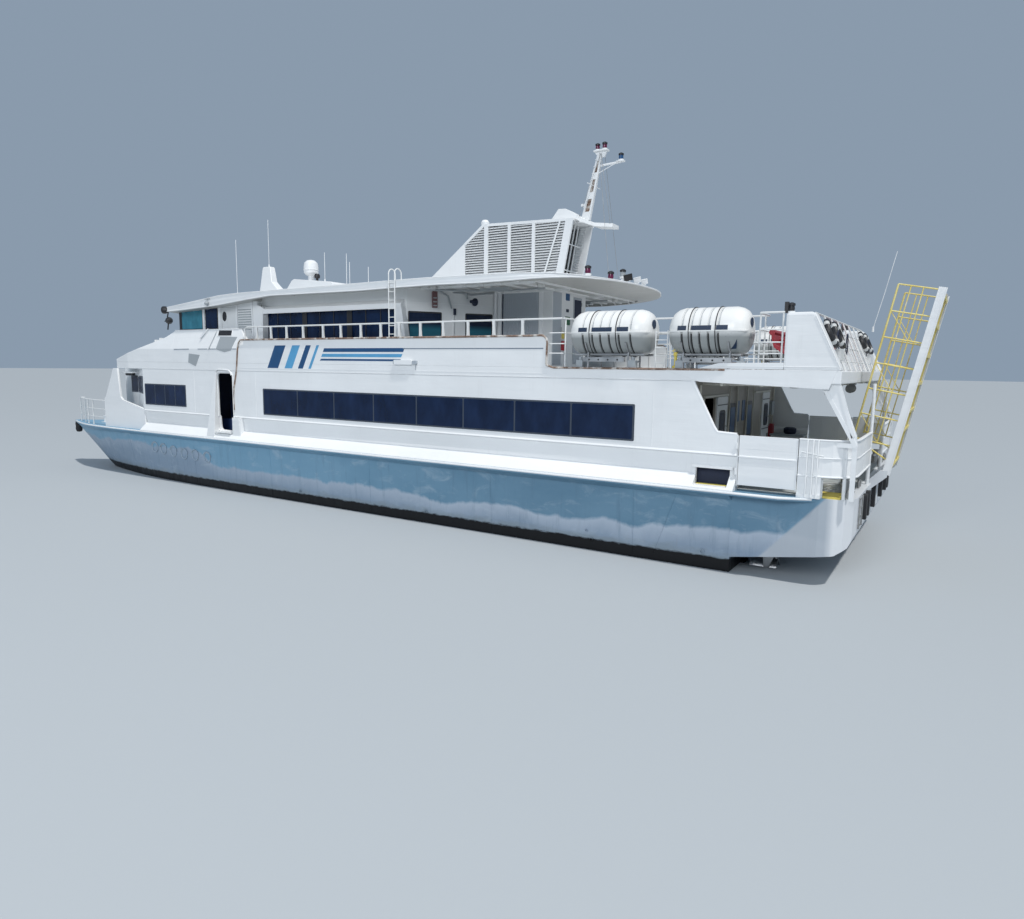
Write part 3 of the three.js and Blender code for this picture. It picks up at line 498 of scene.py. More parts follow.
BOX_RED = plain("box_red", (0.17, 0.085, 0.085), 0.5)
NAVY_PATCH = plain("dark_label", (0.012, 0.03, 0.07), 0.5)
RED = plain("faded_red", (0.42, 0.035, 0.05), 0.45, wear=0.3)
LAMP_RED = plain("red_lamp_lens", (0.12, 0.012, 0.05), 0.2)
YELLOW = ramp_paint()
YELLOW_PAD = plain("yellow_pad", (0.72, 0.58, 0.12), 0.6)
SEAT_BLUE = plain("blue_seat_fabric", (0.03, 0.07, 0.20), 0.85)
CURTAIN = plain("white_curtain", (0.62, 0.63, 0.62), 0.9)
INSIDE = plain("cabin_lining", (0.30, 0.30, 0.29), 0.7)
CASING_GREY = plain("casing_lining", (0.11, 0.12, 0.13), 0.7)
PORT_RIM = plain("porthole_rim", (0.34, 0.43, 0.51), 0.4)
# Darker grey for the roof's underside and ceiling, painted shade
SOFFIT_SHADE = marine_paint("soffit_paint_and_painted_shade", (0.46, 0.46, 0.44), grime=0.6)
BULKHEAD = marine_paint("bulkhead_paint", (0.34, 0.31, 0.26), grime=0.6)
INSIDE_DARK = plain("dark_lining_and_painted_shade", (0.022, 0.030, 0.060), 0.8)
CREASE = plain("crease_shade", (0.22, 0.26, 0.31), 0.6)
CREAM = marine_paint("cream_bulkhead_paint", (0.62, 0.60, 0.53), grime=0.6)


# Camera where the photographer stood, on the pier off the port quarter
camera_data = bpy.data.cameras.new("camera")
camera_data.lens = 24.88
camera_data.clip_end = 500
camera = placed("camera", camera_data)
YAW, PITCH, ROLL = 0.564, -0.131, 0.013
forward = Vector((math.sin(YAW) * math.cos(PITCH), -math.cos(YAW) * math.cos(PITCH), math.sin(PITCH)))
across = Vector((-math.cos(YAW), -math.sin(YAW), 0))
upward = across.cross(forward)
right = math.cos(ROLL) * across + math.sin(ROLL) * upward
top = math.cos(ROLL) * upward - math.sin(ROLL) * across
turn = Matrix((right, top, -forward)).transposed().to_4x4()
camera.matrix_world = Matrix.Translation((-1.763 - HALF_LENGTH, 20.929, 4.795)) @ turn
bpy.context.scene.camera = camera


def cad(material, *names, bevel=0.006):
    """Gives CAD nodes a material and softened edges."""
    for name in names:
        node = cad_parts[name]
        node.data.materials.clear()
        node.data.materials.append(material)
        weld = node.modifiers.new("weld", "WELD")
        weld.merge_threshold = 0.0001
        soften(node, bevel)


def pairs(*names):
    """Names of the nodes on both sides of the ship."""
    return [f"{name}_{side}" for name in names for side in SIDES]


cad(HULL, "stern_overhang", bevel=0.01)
cad(DECK_GREY, "bridge_deck")
cad(WHITE, *pairs("cabin_side", "cabin_forward", "bow_fin", "quarter", "bulwark"), "sloped_front", bevel=0.009)
cad(WHITE, "cabin_front", "bridge_front", *pairs("bridge_side"))
cad(WHITE_SHADE, "house_aft", "bridge_aft", *pairs("house_side"))
cad(BULKHEAD, "aft_bulkhead")
cad(WHITE, *pairs("gable"), bevel=0.06)
cad(WHITE, "upper_deck", bevel=0.02)
cad(WHITE_SHADE, *pairs("side_door", "aft_door", "bridge_door"), "house_door", "foredeck_door")
cad(WHITE, *pairs("gate"))

# Demihulls. Columns: station, sheer y, shoulder y and z, chine y and z, keel y and z,
# inner chine y, inner side y and z, deck flange y and z
HULL_SECTIONS = [
    (2.6, 4.70, 4.42, 1.76, 4.30, -0.25, 3.10, -0.95, 1.99, 1.85, 1.50, 1.80, 1.70),
    (6.0, 4.70, 4.42, 1.76, 4.33, -0.35, 3.10, -1.20, 1.96, 1.85, 1.50, 1.80, 1.70),
    (14.0, 4.70, 4.42, 1.76, 4.33, -0.40, 3.10, -1.30, 1.96, 1.85, 1.50, 1.80, 1.70),
    (22.0, 4.70, 4.42, 1.76, 4.30, -0.35, 3.10, -1.30, 1.99, 1.85, 1.50, 1.80, 1.70),
    (26.0, 4.69, 4.38, 1.76, 4.17, -0.20, 3.12, -1.30, 2.20, 1.96, 1.50, 1.80, 1.70),
    (29.0, 4.62, 4.26, 1.74, 3.86, 0.12, 3.18, -1.08, 2.72, 2.34, 1.48, 1.80, 1.70),
    (31.0, 4.45, 4.08, 1.70, 3.64, 0.52, 3.26, -0.06, 3.03, 2.76, 1.46, 1.80, 1.70),
    (32.5, 4.08, 3.86, 1.70, 3.54, 1.18, 3.36, 0.96, 3.22, 3.08, 1.50, 2.50, 1.72),
    (33.9, 3.58, 3.56, 1.90, 3.50, 1.88, 3.47, 1.865, 3.44, 3.40, 1.885, 3.39, 1.90),
]
FRAME_SPACING = 0.55
HULL_AFT, HULL_FORE = HULL_SECTIONS[0][0], HULL_SECTIONS[-1][0]
# Cells from corner to corner of a section: fine where the plating is dented
SECTION_CELLS = [1, 1, 4, 4, 1, 5, 14, 2, 1]


def section_at(station):
    """Columns of the hull table at a station, on a smooth curve through its rows."""
    rows = HULL_SECTIONS
    i = max(k for k, row in enumerate(rows[:-1]) if row[0] <= station + 1e-9)
    a, b = rows[i], rows[i + 1]
    t = (station - a[0]) / (b[0] - a[0])
    result = []
    for c in range(1, len(a)):
        slopes = [(rows[k + 1][c] - rows[k][c]) / (rows[k + 1][0] - rows[k][0]) for k in range(len(rows) - 1)]
        here, before, after = slopes[i], slopes[max(i - 1, 0)], slopes[min(i + 1, len(slopes) - 1)]
        m0 = 0 if before * here <= 0 else 2 * before * here / (before + here)
        m1 = 0 if here * after <= 0 else 2 * here * after / (here + after)
        span = b[0] - a[0]
        result.append((2 * t ** 3 - 3 * t ** 2 + 1) * a[c] + (t ** 3 - 2 * t ** 2 + t) * span * m0
                      + (3 * t ** 2 - 2 * t ** 3) * b[c] + (t ** 3 - t ** 2) * span * m1)
    return result


def side_y(station, z):
    """Half-breadth of the topside plating."""
    _, shoulder, shoulder_z, chine, chine_z = section_at(station)[:5]
    return chine + (shoulder - chine) * (z - chine_z) / (shoulder_z - chine_z)


def dent(station, z):
    """How far the plating is pressed in between its frames."""
    between = 0.5 - 0.5 * math.cos(2 * math.pi * station / FRAME_SPACING)
    patchy = 0.55 + 0.9 * noise.noise(Vector((station * 0.45, z * 0.9, 3.1)))
    broad = noise.noise(Vector((station * 0.8, z * 1.3, 9.7)))
    return 0.010 * between * max(patchy, 0.1) + 0.008 * broad


def hull():
    """Port demihull, its topside pressed in between the frames."""
    shape = Shape()
    rows = []
    for station in spread(HULL_AFT, HULL_FORE, 260):
        (sheer, shoulder, shoulder_z, chine, chine_z, keel, keel_z, inner_chine, inner, inner_z, flange,
         flange_z) = section_at(station)
        half = min(0.07, (chine - inner_chine) / 4)
        corners = [(flange, DECK_Z), (flange, flange_z), (inner, inner_z), (inner_chine, chine_z),
                   (keel - half, keel_z),
                   (keel + half, keel_z), (chine, chine_z), (shoulder, shoulder_z), (sheer, DECK_Z - 0.09),
                   (sheer, DECK_Z)]
        ring = []
        for a, b, count in zip(corners, corners[1:], SECTION_CELLS):
            ring += [(a[0] + (b[0] - a[0]) * k / count, a[1] + (b[1] - a[1]) * k / count) for k in range(count)]
        ring.append(corners[-1])
        # The dents fade out at both ends
        fade = min((station - HULL_AFT) / 0.4, (HULL_FORE - station) / 2.0, 1)
        rows.append([(station, y - (dent(station, z) * fade if y > chine - 0.01 and chine_z < z < shoulder_z else 0), z)
                     for y, z in ring])
    shape.rows(rows)
    # Jet duct and the fork that holds the steering nozzle
    shape.lathe([(0.20, 2.50), (0.20, 2.70), (0.0, 2.70), (0.0, 2.52), (0.17, 2.50)], (0, 3.1, -0.06), "x")
    for z in (0.257, -0.377):
        shape.box((2.09, 3.01, z - 0.015), (2.70, 3.19, z + 0.015))
    return shape


both_sides("topside", hull(), [HULL], "hull_paint", replaced="hull", smooth=28)

fittings = Shape()
# Blanked portholes, each under its small eyebrow. Columns: station, height
for station, z in [(22.57, 1.16), (23.33, 1.19), (24.07, 1.18), (24.8, 1.23), (25.5, 1.28), (26.12, 1.31)]:
    y = side_y(station, z)
    fittings.look = 1
    fittings.lathe([(0.17, y - 0.03), (0.205, y - 0.02), (0.21, y + 0.022), (0.185, y + 0.028), (0.168, y + 0.014),
                    (0.17, y - 0.03)], (station, 0, z), "y", 24)
    fittings.look = 0
    fittings.lathe([(0.0, y - 0.02), (0.172, y - 0.02), (0.172, y - 0.002), (0.0, y + 0.002)], (station, 0, z), "y", 24)
    brow = [(s, y + 0.030, height) for s, height in arc((station, z), 0.225, 10, 170, 10)]
    fittings.look = 1
    fittings.tube(brow, 0.020, 6)
fittings.look = 0
# Frame stations show as faint weld beads down the topside, and one doubler plate ends in a slanted bead
for station in (5.05, 9.4, 14.1, 18.9, 23.4, 28.1):
    bead = [(station, side_y(station, z) + 0.002 - dent(station, z), z) for z in spread(1.72, 0.1, 12)]
    fittings.tube(bead, 0.006, 5)
slanted = [(3.95 + 0.55 * t, side_y(3.95 + 0.55 * t, 1.7 - 1.55 * t), 1.7 - 1.55 * t) for t in spread(0, 1, 10)]
fittings.tube(slanted, 0.009, 5)
# Overboard discharge pipes near the waterline. Columns: station, height, radius
for station, z, radius in [(3.25, 0.42, 0.06), (6.2, 0.3, 0.05), (6.35, 0.52, 0.035), (11.8, 0.36, 0.05),
                           (17.4, 0.4, 0.04)]:
    y = side_y(station, z)
    fittings.lathe([(radius, y - 0.04), (radius, y + 0.03), (radius * 0.7, y + 0.03), (radius * 0.7, y - 0.02),
                    (0.0, y - 0.02)], (station, 0, z), "y", 14)
both_sides("hull_fittings", fittings, [HULL, PORT_RIM], "hull_paint")

# Half-round rubbing edge along the sheer, and the round rubber fender on each stem head
guard = Shape()
line = [(s, section_at(s)[0] - 0.012, DECK_Z - 0.03) for s in spread(HULL_AFT, 33.6, 90)]
guard.tube([(0.86, 4.43, DECK_Z - 0.03), (1.5, 4.69, DECK_Z - 0.03)] + line, 0.033, 8)
both_sides("sheer_edge", guard, [WHITE], "white_paint")
fender = Shape()
fender.lathe([(0.0, 1.42), (0.10, 1.44), (0.135, 1.50), (0.14, 1.62), (0.14, 1.90), (0.10, 1.97), (0.0, 1.98)],
             (33.78, 3.50, 0), "z", 20)
for z in (1.6, 1.8):
    fender.lathe([(0.148, z - 0.02), (0.155, z), (0.148, z + 0.02)], (33.78, 3.50, 0), "z", 20)
both_sides("stem_fender", fender, [RUBBER], None)


# Window bands: one flush strip a side with tinted panes and lighter mullions
PANE_INSET, PANE_GAP, BAND_END = 0.045, 0.025, 0.03
# Columns: name, CAD node, aft, fore, bottom, top, panes
for name, node, aft, fore, bottom, top_z, panes in [
        ("saloon_windows", "cabin_glass", 5.07, 19.1, 2.98, 3.90, 8),
        ("forward_windows", "forward_glass", 23.65, 26.43, 3.06, 3.91, 4)]:
    band = Shape()
    y = SIDE_Y + 0.001
    band.prism(rounded(aft, fore, bottom, top_z, 0.03), "y", y, y + 0.010)
    band.look = 1
    pitch = (fore - aft - 2 * BAND_END) / panes
    for i in range(panes):
        start = aft + BAND_END + i * pitch
        band.prism(rounded(start + PANE_GAP, start + pitch - PANE_GAP, bottom + PANE_INSET, top_z - PANE_INSET, 0.035),
                   "y", y, y + 0.0135)
    both_sides(name, band, [MULLION, GLASS], "window_glass", replaced=node, bevel=0.001)

# Sunken corner window in the bevelled forward side, and the panes of the cabin front
corner = Shape()
corner.box((-0.88, -0.012, 3.16), (0.88, 0.006, 3.94))
corner.look = 1
corner.box((-0.86, 0.004, 3.48), (0.905, 0.010, 4.20))
corner.look = 2
corner.box((-0.82, 0.004, 3.53), (0.895, 0.014, 4.15))
bend_angle = math.atan2(3.70 - 4.45, 28.2 - 26.55)
CORNER_S, CORNER_Y = 27.39, 4.062
corner.verts = [(CORNER_S + x * math.cos(bend_angle) - y * math.sin(bend_angle),
                 CORNER_Y + x * math.sin(bend_angle) + y * math.cos(bend_angle), z) for x, y, z in corner.verts]
both_sides("corner_window", corner, [WHITE, MULLION, GLASS], "window_glass")
# Short wall that runs on forward inside the fin, with its own pane
inner_wall = Shape()
inner_wall.prism([(28.19, 3.70), (28.19, 3.65), (29.30, 3.56), (29.30, 3.61)], "z", DECK_Z, 4.49)
inner_wall.tube([(29.30, 3.585, DECK_Z), (29.30, 3.585, 4.49)], 0.032, 10)
inner_wall.look = 1
inner_wall.prism([(28.19, 3.703), (28.19, 3.690), (28.80, 3.645), (28.80, 3.655)], "z", 3.48, 4.20)
inner_wall.look = 2
inner_wall.prism([(28.19, 3.708), (28.19, 3.690), (28.76, 3.650), (28.76, 3.663)], "z", 3.53, 4.15)
both_sides("cabin_return", inner_wall, [WHITE, MULLION, GLASS], "white_paint")
front = Shape()
for y0, y1 in [(0.70, 1.60), (1.72, 2.62), (2.74, 3.50)]:
    front.look = 0
    front.prism(rounded(y0 - 0.04, y1 + 0.04, 3.11, 3.99, 0.05), "x", 28.262, 28.272)
    front.look = 1
    front.prism(rounded(y0, y1, 3.15, 3.95, 0.05), "x", 28.265, 28.280)
both_sides("cabin_front_windows", front, [MULLION, GLASS], "window_glass")

# Curtains behind the forward windows and the first panes of the saloon
curtains = Shape()
for aft, fore, bottom in [(25.4, 25.75, 2.95), (26.1, 26.4, 2.95), (24.5, 24.66, 2.95), (23.7, 23.9, 2.95),
                          (18.4, 18.55, 2.9), (11.7, 11.9, 2.9)]:
    folds = spread(aft, fore, 25)
    wave = [(s, 4.33 + 0.018 * math.sin(i * 1.57)) for i, s in enumerate(folds)]
    curtains.prism(wave + [(s, y - 0.004) for s, y in reversed(wave)], "z", bottom, 3.95)
both_sides("curtains", curtains, [CURTAIN], None, smooth=60)


def seat(shape, station, y, z):
    """Seat facing forward: a cushion, a back leaning aft and a post."""
    shape.look = 0
    shape.prism(rounded(station - 0.22, station + 0.24, z + 0.36, z + 0.47, 0.04), "y", y - 0.22, y + 0.22)
    back = len(shape.verts)
    shape.prism(rounded(station - 0.30, station - 0.20, z + 0.44, z + 1.12, 0.045), "y", y - 0.22, y + 0.22)
    shape.turned((station - 0.25, y, z + 0.45), tilt(-10, "Y"), back)
    shape.look = 1
    shape.box((station - 0.16, y - 0.02, z), (station + 0.1, y + 0.02, z + 0.36))


# Seat rows of the saloon, left out at the side doors, and of the lounge
seats = Shape()
for station in spread(5.4, 25.2, 23):
    if 19.6 < station < 22.6:
        continue
    for y in (0.55, 1.05, 1.55, 2.60, 3.10, 3.60):
        seat(seats, station, y, DECK_Z + 0.02)
for station in spread(14.0, 18.9, 6):
    for y in (0.8, 1.3, 2.1, 2.6, 3.1):
        seat(seats, station, y, UPPER_Z + 0.01)
both_sides("seat_rows", seats, [SEAT_BLUE, STEEL], None)

# Lining of the saloon: floor, ceiling, and the vestibule inside the side doors
lining = Shape()
lining.box((3.72, 0.0, 2.002), (28.1, 3.6, 2.015))
lining.box((3.72, 0.0, 4.44), (26.4, 4.28, 4.46))
for station in spread(4.6, 25.6, 15):
    lining.box((station - 0.6, 0.9, 4.425), (station + 0.6, 1.1, 4.445))
lining.look = 1
lining.box((22.5, 0.35, 2.02), (22.56, 4.24, 4.43))
lining.box((19.6, 0.35, 2.02), (19.66, 4.20, 4.43))
lining.look = 2
lining.prism(rounded(20.9, 22.4, 2.10, 2.66, 0.08), "y", 3.35, 3.85)
lining.prism(rounded(20.9, 22.4, 2.60, 3.34, 0.06), "y", 3.28, 3.40)
both_sides("saloon_lining", lining, [INSIDE, INSIDE_DARK, SEAT_BLUE], None)

trims = Shape()
# Side door: rounded frame, sill step, lintel gutter and grab rails
frame_line = rounded(20.755, 21.695, 2.255, 4.445, 0.15, 6)
trims.tube([(s, SIDE_Y + 0.012, z) for s, z in frame_line], 0.020, 8, closed=True)
gutter = arc((21.0, 4.32), 0.20, 175, 90, 6) + arc((21.52, 4.32), 0.22, 90, 5, 6)
trims.tube([(s, SIDE_Y + 0.035, z) for s, z in gutter], 0.024, 8)
trims.box((20.8, SIDE_Y - 0.02, 2.21), (21.65, SHEER_Y - 0.06, 2.235))
for s in (20.70, 21.80):
    trims.tube([(s, SIDE_Y - 0.01, 2.95), (s, SIDE_Y + 0.06, 2.98), (s, SIDE_Y + 0.06, 3.75), (s, SIDE_Y - 0.01, 3.78)],
               0.012, 8)
# Locker cover aft of the door, held by bolts
trims.prism(rounded(20.32, 20.70, 2.10, 2.76, 0.05), "y", 4.555, 4.570)
for s, z in ([(s, z) for s in spread(20.36, 20.66, 3) for z in (2.16, 2.70)]
             + [(s, z) for z in (2.33, 2.53) for s in (20.36, 20.66)]):
    trims.lathe([(0.0, 4.568), (0.018, 4.568), (0.018, 4.580), (0.0, 4.582)], (s, 0, z), "y", 8)
# Mooring port: raised rectangular frame
for s0, s1, z0, z1 in [(2.60, 3.56, 2.47, 2.53), (2.60, 2.67, 2.04, 2.50), (3.49, 3.56, 2.04, 2.50)]:
    trims.box((s0, 4.33, z0), (s1, 4.40 + 0.06 * (z0 > 2.4), z1))
# Weld beads and creases of the side plating. Columns: from station and height, to station and height
for s0, z0, s1, z1 in [(20.5, 5.27, 22.78, 5.27), (23.34, 5.27, 24.3, 5.26), (7.6, 4.62, 20.3, 4.62),
                       (3.9, 4.52, 26.5, 4.52), (3.75, 2.62, 5.0, 2.60), (5.0, 2.42, 19.0, 2.42),
                       (19.5, 2.9, 19.5, 4.45), (4.6, 2.9, 4.6, 4.3), (23.1, 2.9, 23.1, 4.45)]:
    deep = SIDE_Y + 0.001 if z0 > KNUCKLE_Z + 0.05 else SIDE_Y - 0.055 - 0.03 * (2.82 - z0) / 0.5
    trims.tube([(s0, deep, z0), (s1, deep, z1)], 0.006, 5)
# Gate: two seams and hinge barrels
for s in (1.205, 2.50):
    trims.tube([(s, SIDE_Y + 0.002, 2.12), (s, SIDE_Y + 0.002, 3.28)], 0.010, 6)
for z in (2.45, 3.05):
    trims.disc(0.022, z - 0.07, z + 0.07, (2.53, SIDE_Y + 0.02, 0), "z", 10)
# Cap tube along the top of the aft bulwark
trims.tube([(2.55, 4.42, 3.305), (3.0, 4.42, 3.33), (3.1, 4.42, 3.47), (3.64, 4.42, 4.5)], 0.035, 8)
# Dark crease lines below the bulwark top, painted as the shade in the creases, and a small box on the port side
trims.look = 1
for s0, z0, s1, z1 in [(7.72, 5.275, 12.6, 5.28), (20.5, 5.285, 22.78, 5.285), (23.34, 5.285, 24.3, 5.275)]:
    trims.prism([(s0, z0 - 0.016), (s1, z1 - 0.016), (s1, z1 + 0.016), (s0, z0 + 0.016)], "y", SIDE_Y - 0.004,
                SIDE_Y + 0.006)
both_sides("side_trims", trims, [WHITE, CREASE], "white_paint")
side_box = Shape()
side_box.prism(rounded(12.22, 12.92, 4.80, 4.94, 0.03), "y", SIDE_Y - 0.005, SIDE_Y + 0.075)
side_box.look = 1
for s0, s1 in ((12.04, 12.22), (12.92, 12.97)):
    side_box.prism(rounded(s0, s1, 4.815, 4.925, 0.02), "y", SIDE_Y - 0.005, SIDE_Y + 0.055)
side_box.tube([(12.10, SIDE_Y + 0.02, 4.82), (12.10, SIDE_Y + 0.02, 4.64)], 0.010, 6)
side_box.piece("side_box", [WHITE, SHUTTER], "white_paint", bevel=0.003)
# Painted shade: near-black plates inside the mooring ports, where the openings lie in shade
port_dark = Shape()
for s0, s1, y0, y1, z0 in [(2.58, 3.58, 4.226, 4.236, 2.02), (2.58, 2.60, 4.236, 4.34, 2.02),
                           (3.56, 3.58, 4.236, 4.34, 2.02), (2.58, 3.58, 4.236, 4.34, 2.52)]:
    port_dark.box((s0, y0, z0), (s1, y1, 2.54))
both_sides("mooring_port_painted_shade", port_dark, [INSIDE_DARK], None)

ledge = Shape()
# Yellow lower edge of the mooring port and the yellow pads at the quarter
ledge.box((2.70, 4.30, 2.045), (3.46, 4.42, 2.085))
ledge.box((0.30, 3.62, 2.00), (1.12, 4.30, 2.05))
both_sides("yellow_edges", ledge, [YELLOW_PAD], "ramp_paint")

# Brown half-round edging: along the bulwark top, down beside the forward door, and along the deck edge aft
edging = Shape()
down = curve([(20.24, 5.60), (20.38, 5.42), (20.46, 4.9), (20.52, 4.5), (20.68, 3.9), (20.75, 3.5), (20.72, 3.08)], 3)
top_line = [(7.62, 4.86)] + arc((7.80, 5.42), 0.20, 180, 90, 5) + [(s, 5.61) for s in spread(8.2, 20.0, 20)] + down
edging.tube([(s, SIDE_Y + 0.018, z) for s, z in top_line], 0.028, 8)
edging.tube([(7.62, SIDE_Y + 0.012, 4.84)] + [(s, SIDE_Y + 0.012, 4.775) for s in spread(7.4, 2.9, 10)], 0.026, 8)
both_sides("bulwark_edging", edging, [RUSTY], None)

# Generic slanted bars in the place of the lettering. Columns: station, width, look
bars = Shape()
BARS_LOW, BARS_HIGH, BARS_LEAN = 4.62, 5.40, 0.42
for station, width, look in [(18.55, 0.55, 0), (17.75, 0.38, 1), (17.15, 0.24, 0), (16.7, 0.12, 1)]:
    bars.look = look
    fore, aft = station + width / 2, station - width / 2
    bars.prism([(fore, BARS_LOW), (aft, BARS_LOW), (aft - BARS_LEAN, BARS_HIGH), (fore - BARS_LEAN, BARS_HIGH)],
               "y", SIDE_Y + 0.0005, SIDE_Y + 0.0035)
for low, high, look in [(5.18, 5.30, 0), (5.02, 5.12, 1), (4.90, 4.96, 0)]:
    bars.look = look
    slip = 0.54 * (low - BARS_LOW)
    bars.prism([(16.35 - slip, low), (12.9 - slip, low), (12.9 - slip - 0.06, high), (16.35 - slip - 0.06, high)],
               "y", SIDE_Y + 0.0005, SIDE_Y + 0.0035)
both_sides("side_bars", bars, [NAVY, SKY], None)

# Forward superstructure: black and grey plates painted as the shade of a slot and shadows on the coaming, creases and
# struts on the wheelhouse wing
wing = Shape()


def leaning(z):
    """Outer face of the coaming, which leans in above its crease."""
    return SIDE_Y - 0.19 * max(z - 5.3, 0) / 0.7


def wing_plate(outline, out):
    """Thin plate on the coaming, its outline given as (station, height)."""
    wing.rows([[(s, leaning(z) + d, z) for s, z in outline] for d in (out - 0.012, out)])


# Painted shade: black plate for the dark slot in the coaming
wing.look = 1
wing_plate([(20.93, 5.77), (21.70, 5.78), (21.69, 5.97), (20.94, 5.96)], 0.004)
# Painted shadows: grey plates where shadows fall on the coaming
wing.look = 2
wing_plate([(20.77, 5.30), (21.672, 5.30), (21.60, 5.56), (21.55, 5.74), (20.56, 5.72), (20.68, 5.5)], 0.007)
wing_plate([(20.81, 5.23), (21.18, 5.17), (21.68, 5.27), (21.672, 5.30), (20.77, 5.30)], 0.007)
wing_plate([(22.95, 4.64), (23.41, 4.78), (23.35, 5.12), (22.67, 5.07)], 0.007)
wing.look = 0
for a, b in [((20.90, 5.76), (21.74, 5.76)), ((20.90, 5.99), (21.74, 5.99)), ((20.90, 5.76), (20.90, 5.99)),
             ((21.74, 5.76), (21.74, 5.99))]:
    wing.tube([(s, leaning(z) + 0.004, z) for s, z in (a, b)], 0.014, 6)
for a, b in [((22.31, 6.04), (22.69, 5.68)), ((21.80, 5.95), (22.09, 5.27))]:
    wing.tube([(s, leaning(z) + 0.05, z) for s, z in (a, b)], 0.022, 8)
wing.tube([(20.55, leaning(6.0) + 0.005, 6.01), (24.45, leaning(6.0) + 0.005, 6.01)], 0.020, 8)
# Small shelf under the forward overhang
wing.prism(rounded(27.7, 28.5, 4.30, 4.36, 0.02), "y", 3.95, 4.22)
wing.look = 1
wing.box((27.9, 3.98, 4.20), (28.4, 4.12, 4.30))
both_sides("wheelhouse_wing", wing, [WHITE, BLACK, GREY_PAINT], "white_paint", bevel=0.004)


# Roof, thicker over the wheelhouse, with a rounded tail and a deep edge round its ceiling
ROOF_TAIL = curve([(6.752, 0.02), (6.80, 1.0), (6.94, 1.8), (7.18, 2.55), (7.48, 3.22), (8.0, 3.76), (8.9, 4.10),
                   (10.3, 4.28), (12.5, 4.395)], 6)
ROOF_EDGE = ROOF_TAIL + [(s, 4.4) for s in spread(12.9, 24.7, 46)] + [(24.9, 4.05), (25.1, 3.70), (25.3, 3.35),
                                                                      (25.5, 3.0), (25.65, 2.4), (25.798, 1.8)]
ROOF_LOW = [(6.75, 7.26), (7.4, 7.235), (8.0, 7.19), (9.0, 7.13), (10.0, 7.10), (11.5, 7.11), (14.5, 7.07),
            (18.7, 7.09), (20.0, 7.0), (21.5, 6.87), (23.5, 6.77), (25.8, 6.69)]
ROOF_HIGH = [(6.75, 7.30), (8.0, 7.34), (11.5, 7.34), (14.5, 7.31), (18.7, 7.28), (20.5, 7.26), (21.5, 7.22),
             (23.5, 7.02), (25.8, 6.80)]
ROOF_CROWN = [(6.75, 7.31), (8.0, 7.37), (18.7, 7.37), (21.5, 7.34), (23.5, 7.14), (25.8, 6.86)]
TRAY = [(8.0, 0.001), (8.1, 2.6), (8.4, 3.5), (8.9, 3.9), (10.3, 4.08), (12.5, 4.2), (19.95, 4.2)]
CEILING = 7.2
roof = Shape()
rows = []
roof_stations = sorted(ROOF_EDGE + [(s, along(ROOF_EDGE, s)) for s in (7.999, 8.001, 8.1, 8.4, 19.949, 19.951)])
for station, half in roof_stations:
    low, high = along(ROOF_LOW, station), along(ROOF_HIGH, station)
    lip = min(0.05, (high - low) * 0.3)
    inset = min(0.035, half * 0.4)
    port = [(half - inset, low), (half, low + lip), (half, high - lip), (half - inset * 0.6, high - lip * 0.25),
            (half - 2.5 * inset, high), (half * 0.4, high + (along(ROOF_CROWN, station) - high) * 0.8)]
    hollow = 8.0 < station < 19.95
    inner = min(along(TRAY, station), half - 0.08) if station >= 8 else half * 0.5
    ceiling = CEILING if hollow else low
    rows.append([(station, y, z) for y, z in port] + [(station, -y, z) for y, z in reversed(port)]
                + [(station, y, z) for y, z in ((-inner, low), (-inner, ceiling), (inner, ceiling), (inner, low))])
roof.rows(rows)
# Underside and ceiling faces take the darker grey, as painted shade
roof.looks = [int(k % len(rows[0]) >= 11) for k in range(len(roof.faces))]
roof.piece("roof_shell", [WHITE, SOFFIT_SHADE], "white_paint", replaces=["roof"], smooth=50)

fascia = Shape()
# Drip bead round the roof edge and shallow seams across it
for z_table, lift in ((ROOF_LOW, 0.02), (ROOF_HIGH, -0.01)):
    fascia.tube([(s, half + 0.004, along(z_table, s) + lift) for s, half in ROOF_EDGE], 0.014, 6)
for s in spread(9.5, 18.5, 5):
    fascia.box((s - 0.02, 0.0, along(ROOF_HIGH, s)), (s + 0.02, 4.2, along(ROOF_HIGH, s) + 0.012))
# Beams under the ceiling and brackets against its deep edge
for s in spread(8.6, 13.0, 8):
    fascia.box((s - 0.025, 0.0, CEILING - 0.05), (s + 0.025, along(TRAY, s) - 0.02, CEILING + 0.01))
for s in spread(8.9, 19.0, 18):
    edge = min(along(TRAY, s), along(ROOF_EDGE, s) - 0.08)
    fascia.rows([[(s + d, y, z) for y, z in ((edge + 0.01, 7.10), (edge + 0.01, CEILING), (edge - 0.22, CEILING))]
                 for d in (-0.012, 0.012)])
for y in (1.2, 3.3):
    fascia.box((8.7, y - 0.03, CEILING - 0.07), (12.9, y + 0.03, CEILING + 0.01))
both_sides("roof_trims", fascia, [WHITE], "white_paint")
soffit = Shape()
for route in [[(12.9, 3.0, 7.1), (12.0, 2.2, 7.1), (11.88, 1.96, 7.06), (11.6, 1.55, 7.12), (11.45, 1.35, 7.14)],
              [(12.5, 3.3, 7.12), (11.2, 2.6, 7.1), (10.2, 2.2, 7.1), (9.0, 2.2, 7.12)],
              [(11.95, 2.12, 7.1), (11.93, 2.10, 6.92)],
              [(12.45, 2.85, 7.12), (12.30, 2.62, 6.98), (12.24, 2.52, 6.60)]]:
    soffit.tube(route, 0.028, 8)
soffit.look = 1
for s, y in [(12.2, 3.5), (10.4, 3.2), (8.9, 2.6), (15.5, 3.98), (18.0, 3.98)]:
    soffit.lathe([(0.0, 7.09), (0.09, 7.10), (0.11, 7.14), (0.11, 7.198), (0.0, 7.198)], (s, y, 0), "z", 16)
soffit.look = 0
soffit.prism([(9.9, 7.06), (10.9, 7.06), (10.9, 7.14), (9.9, 7.14)], "y", 2.7, 2.86)
both_sides("soffit_fittings", soffit, [GREY_PAINT, CURTAIN], None)

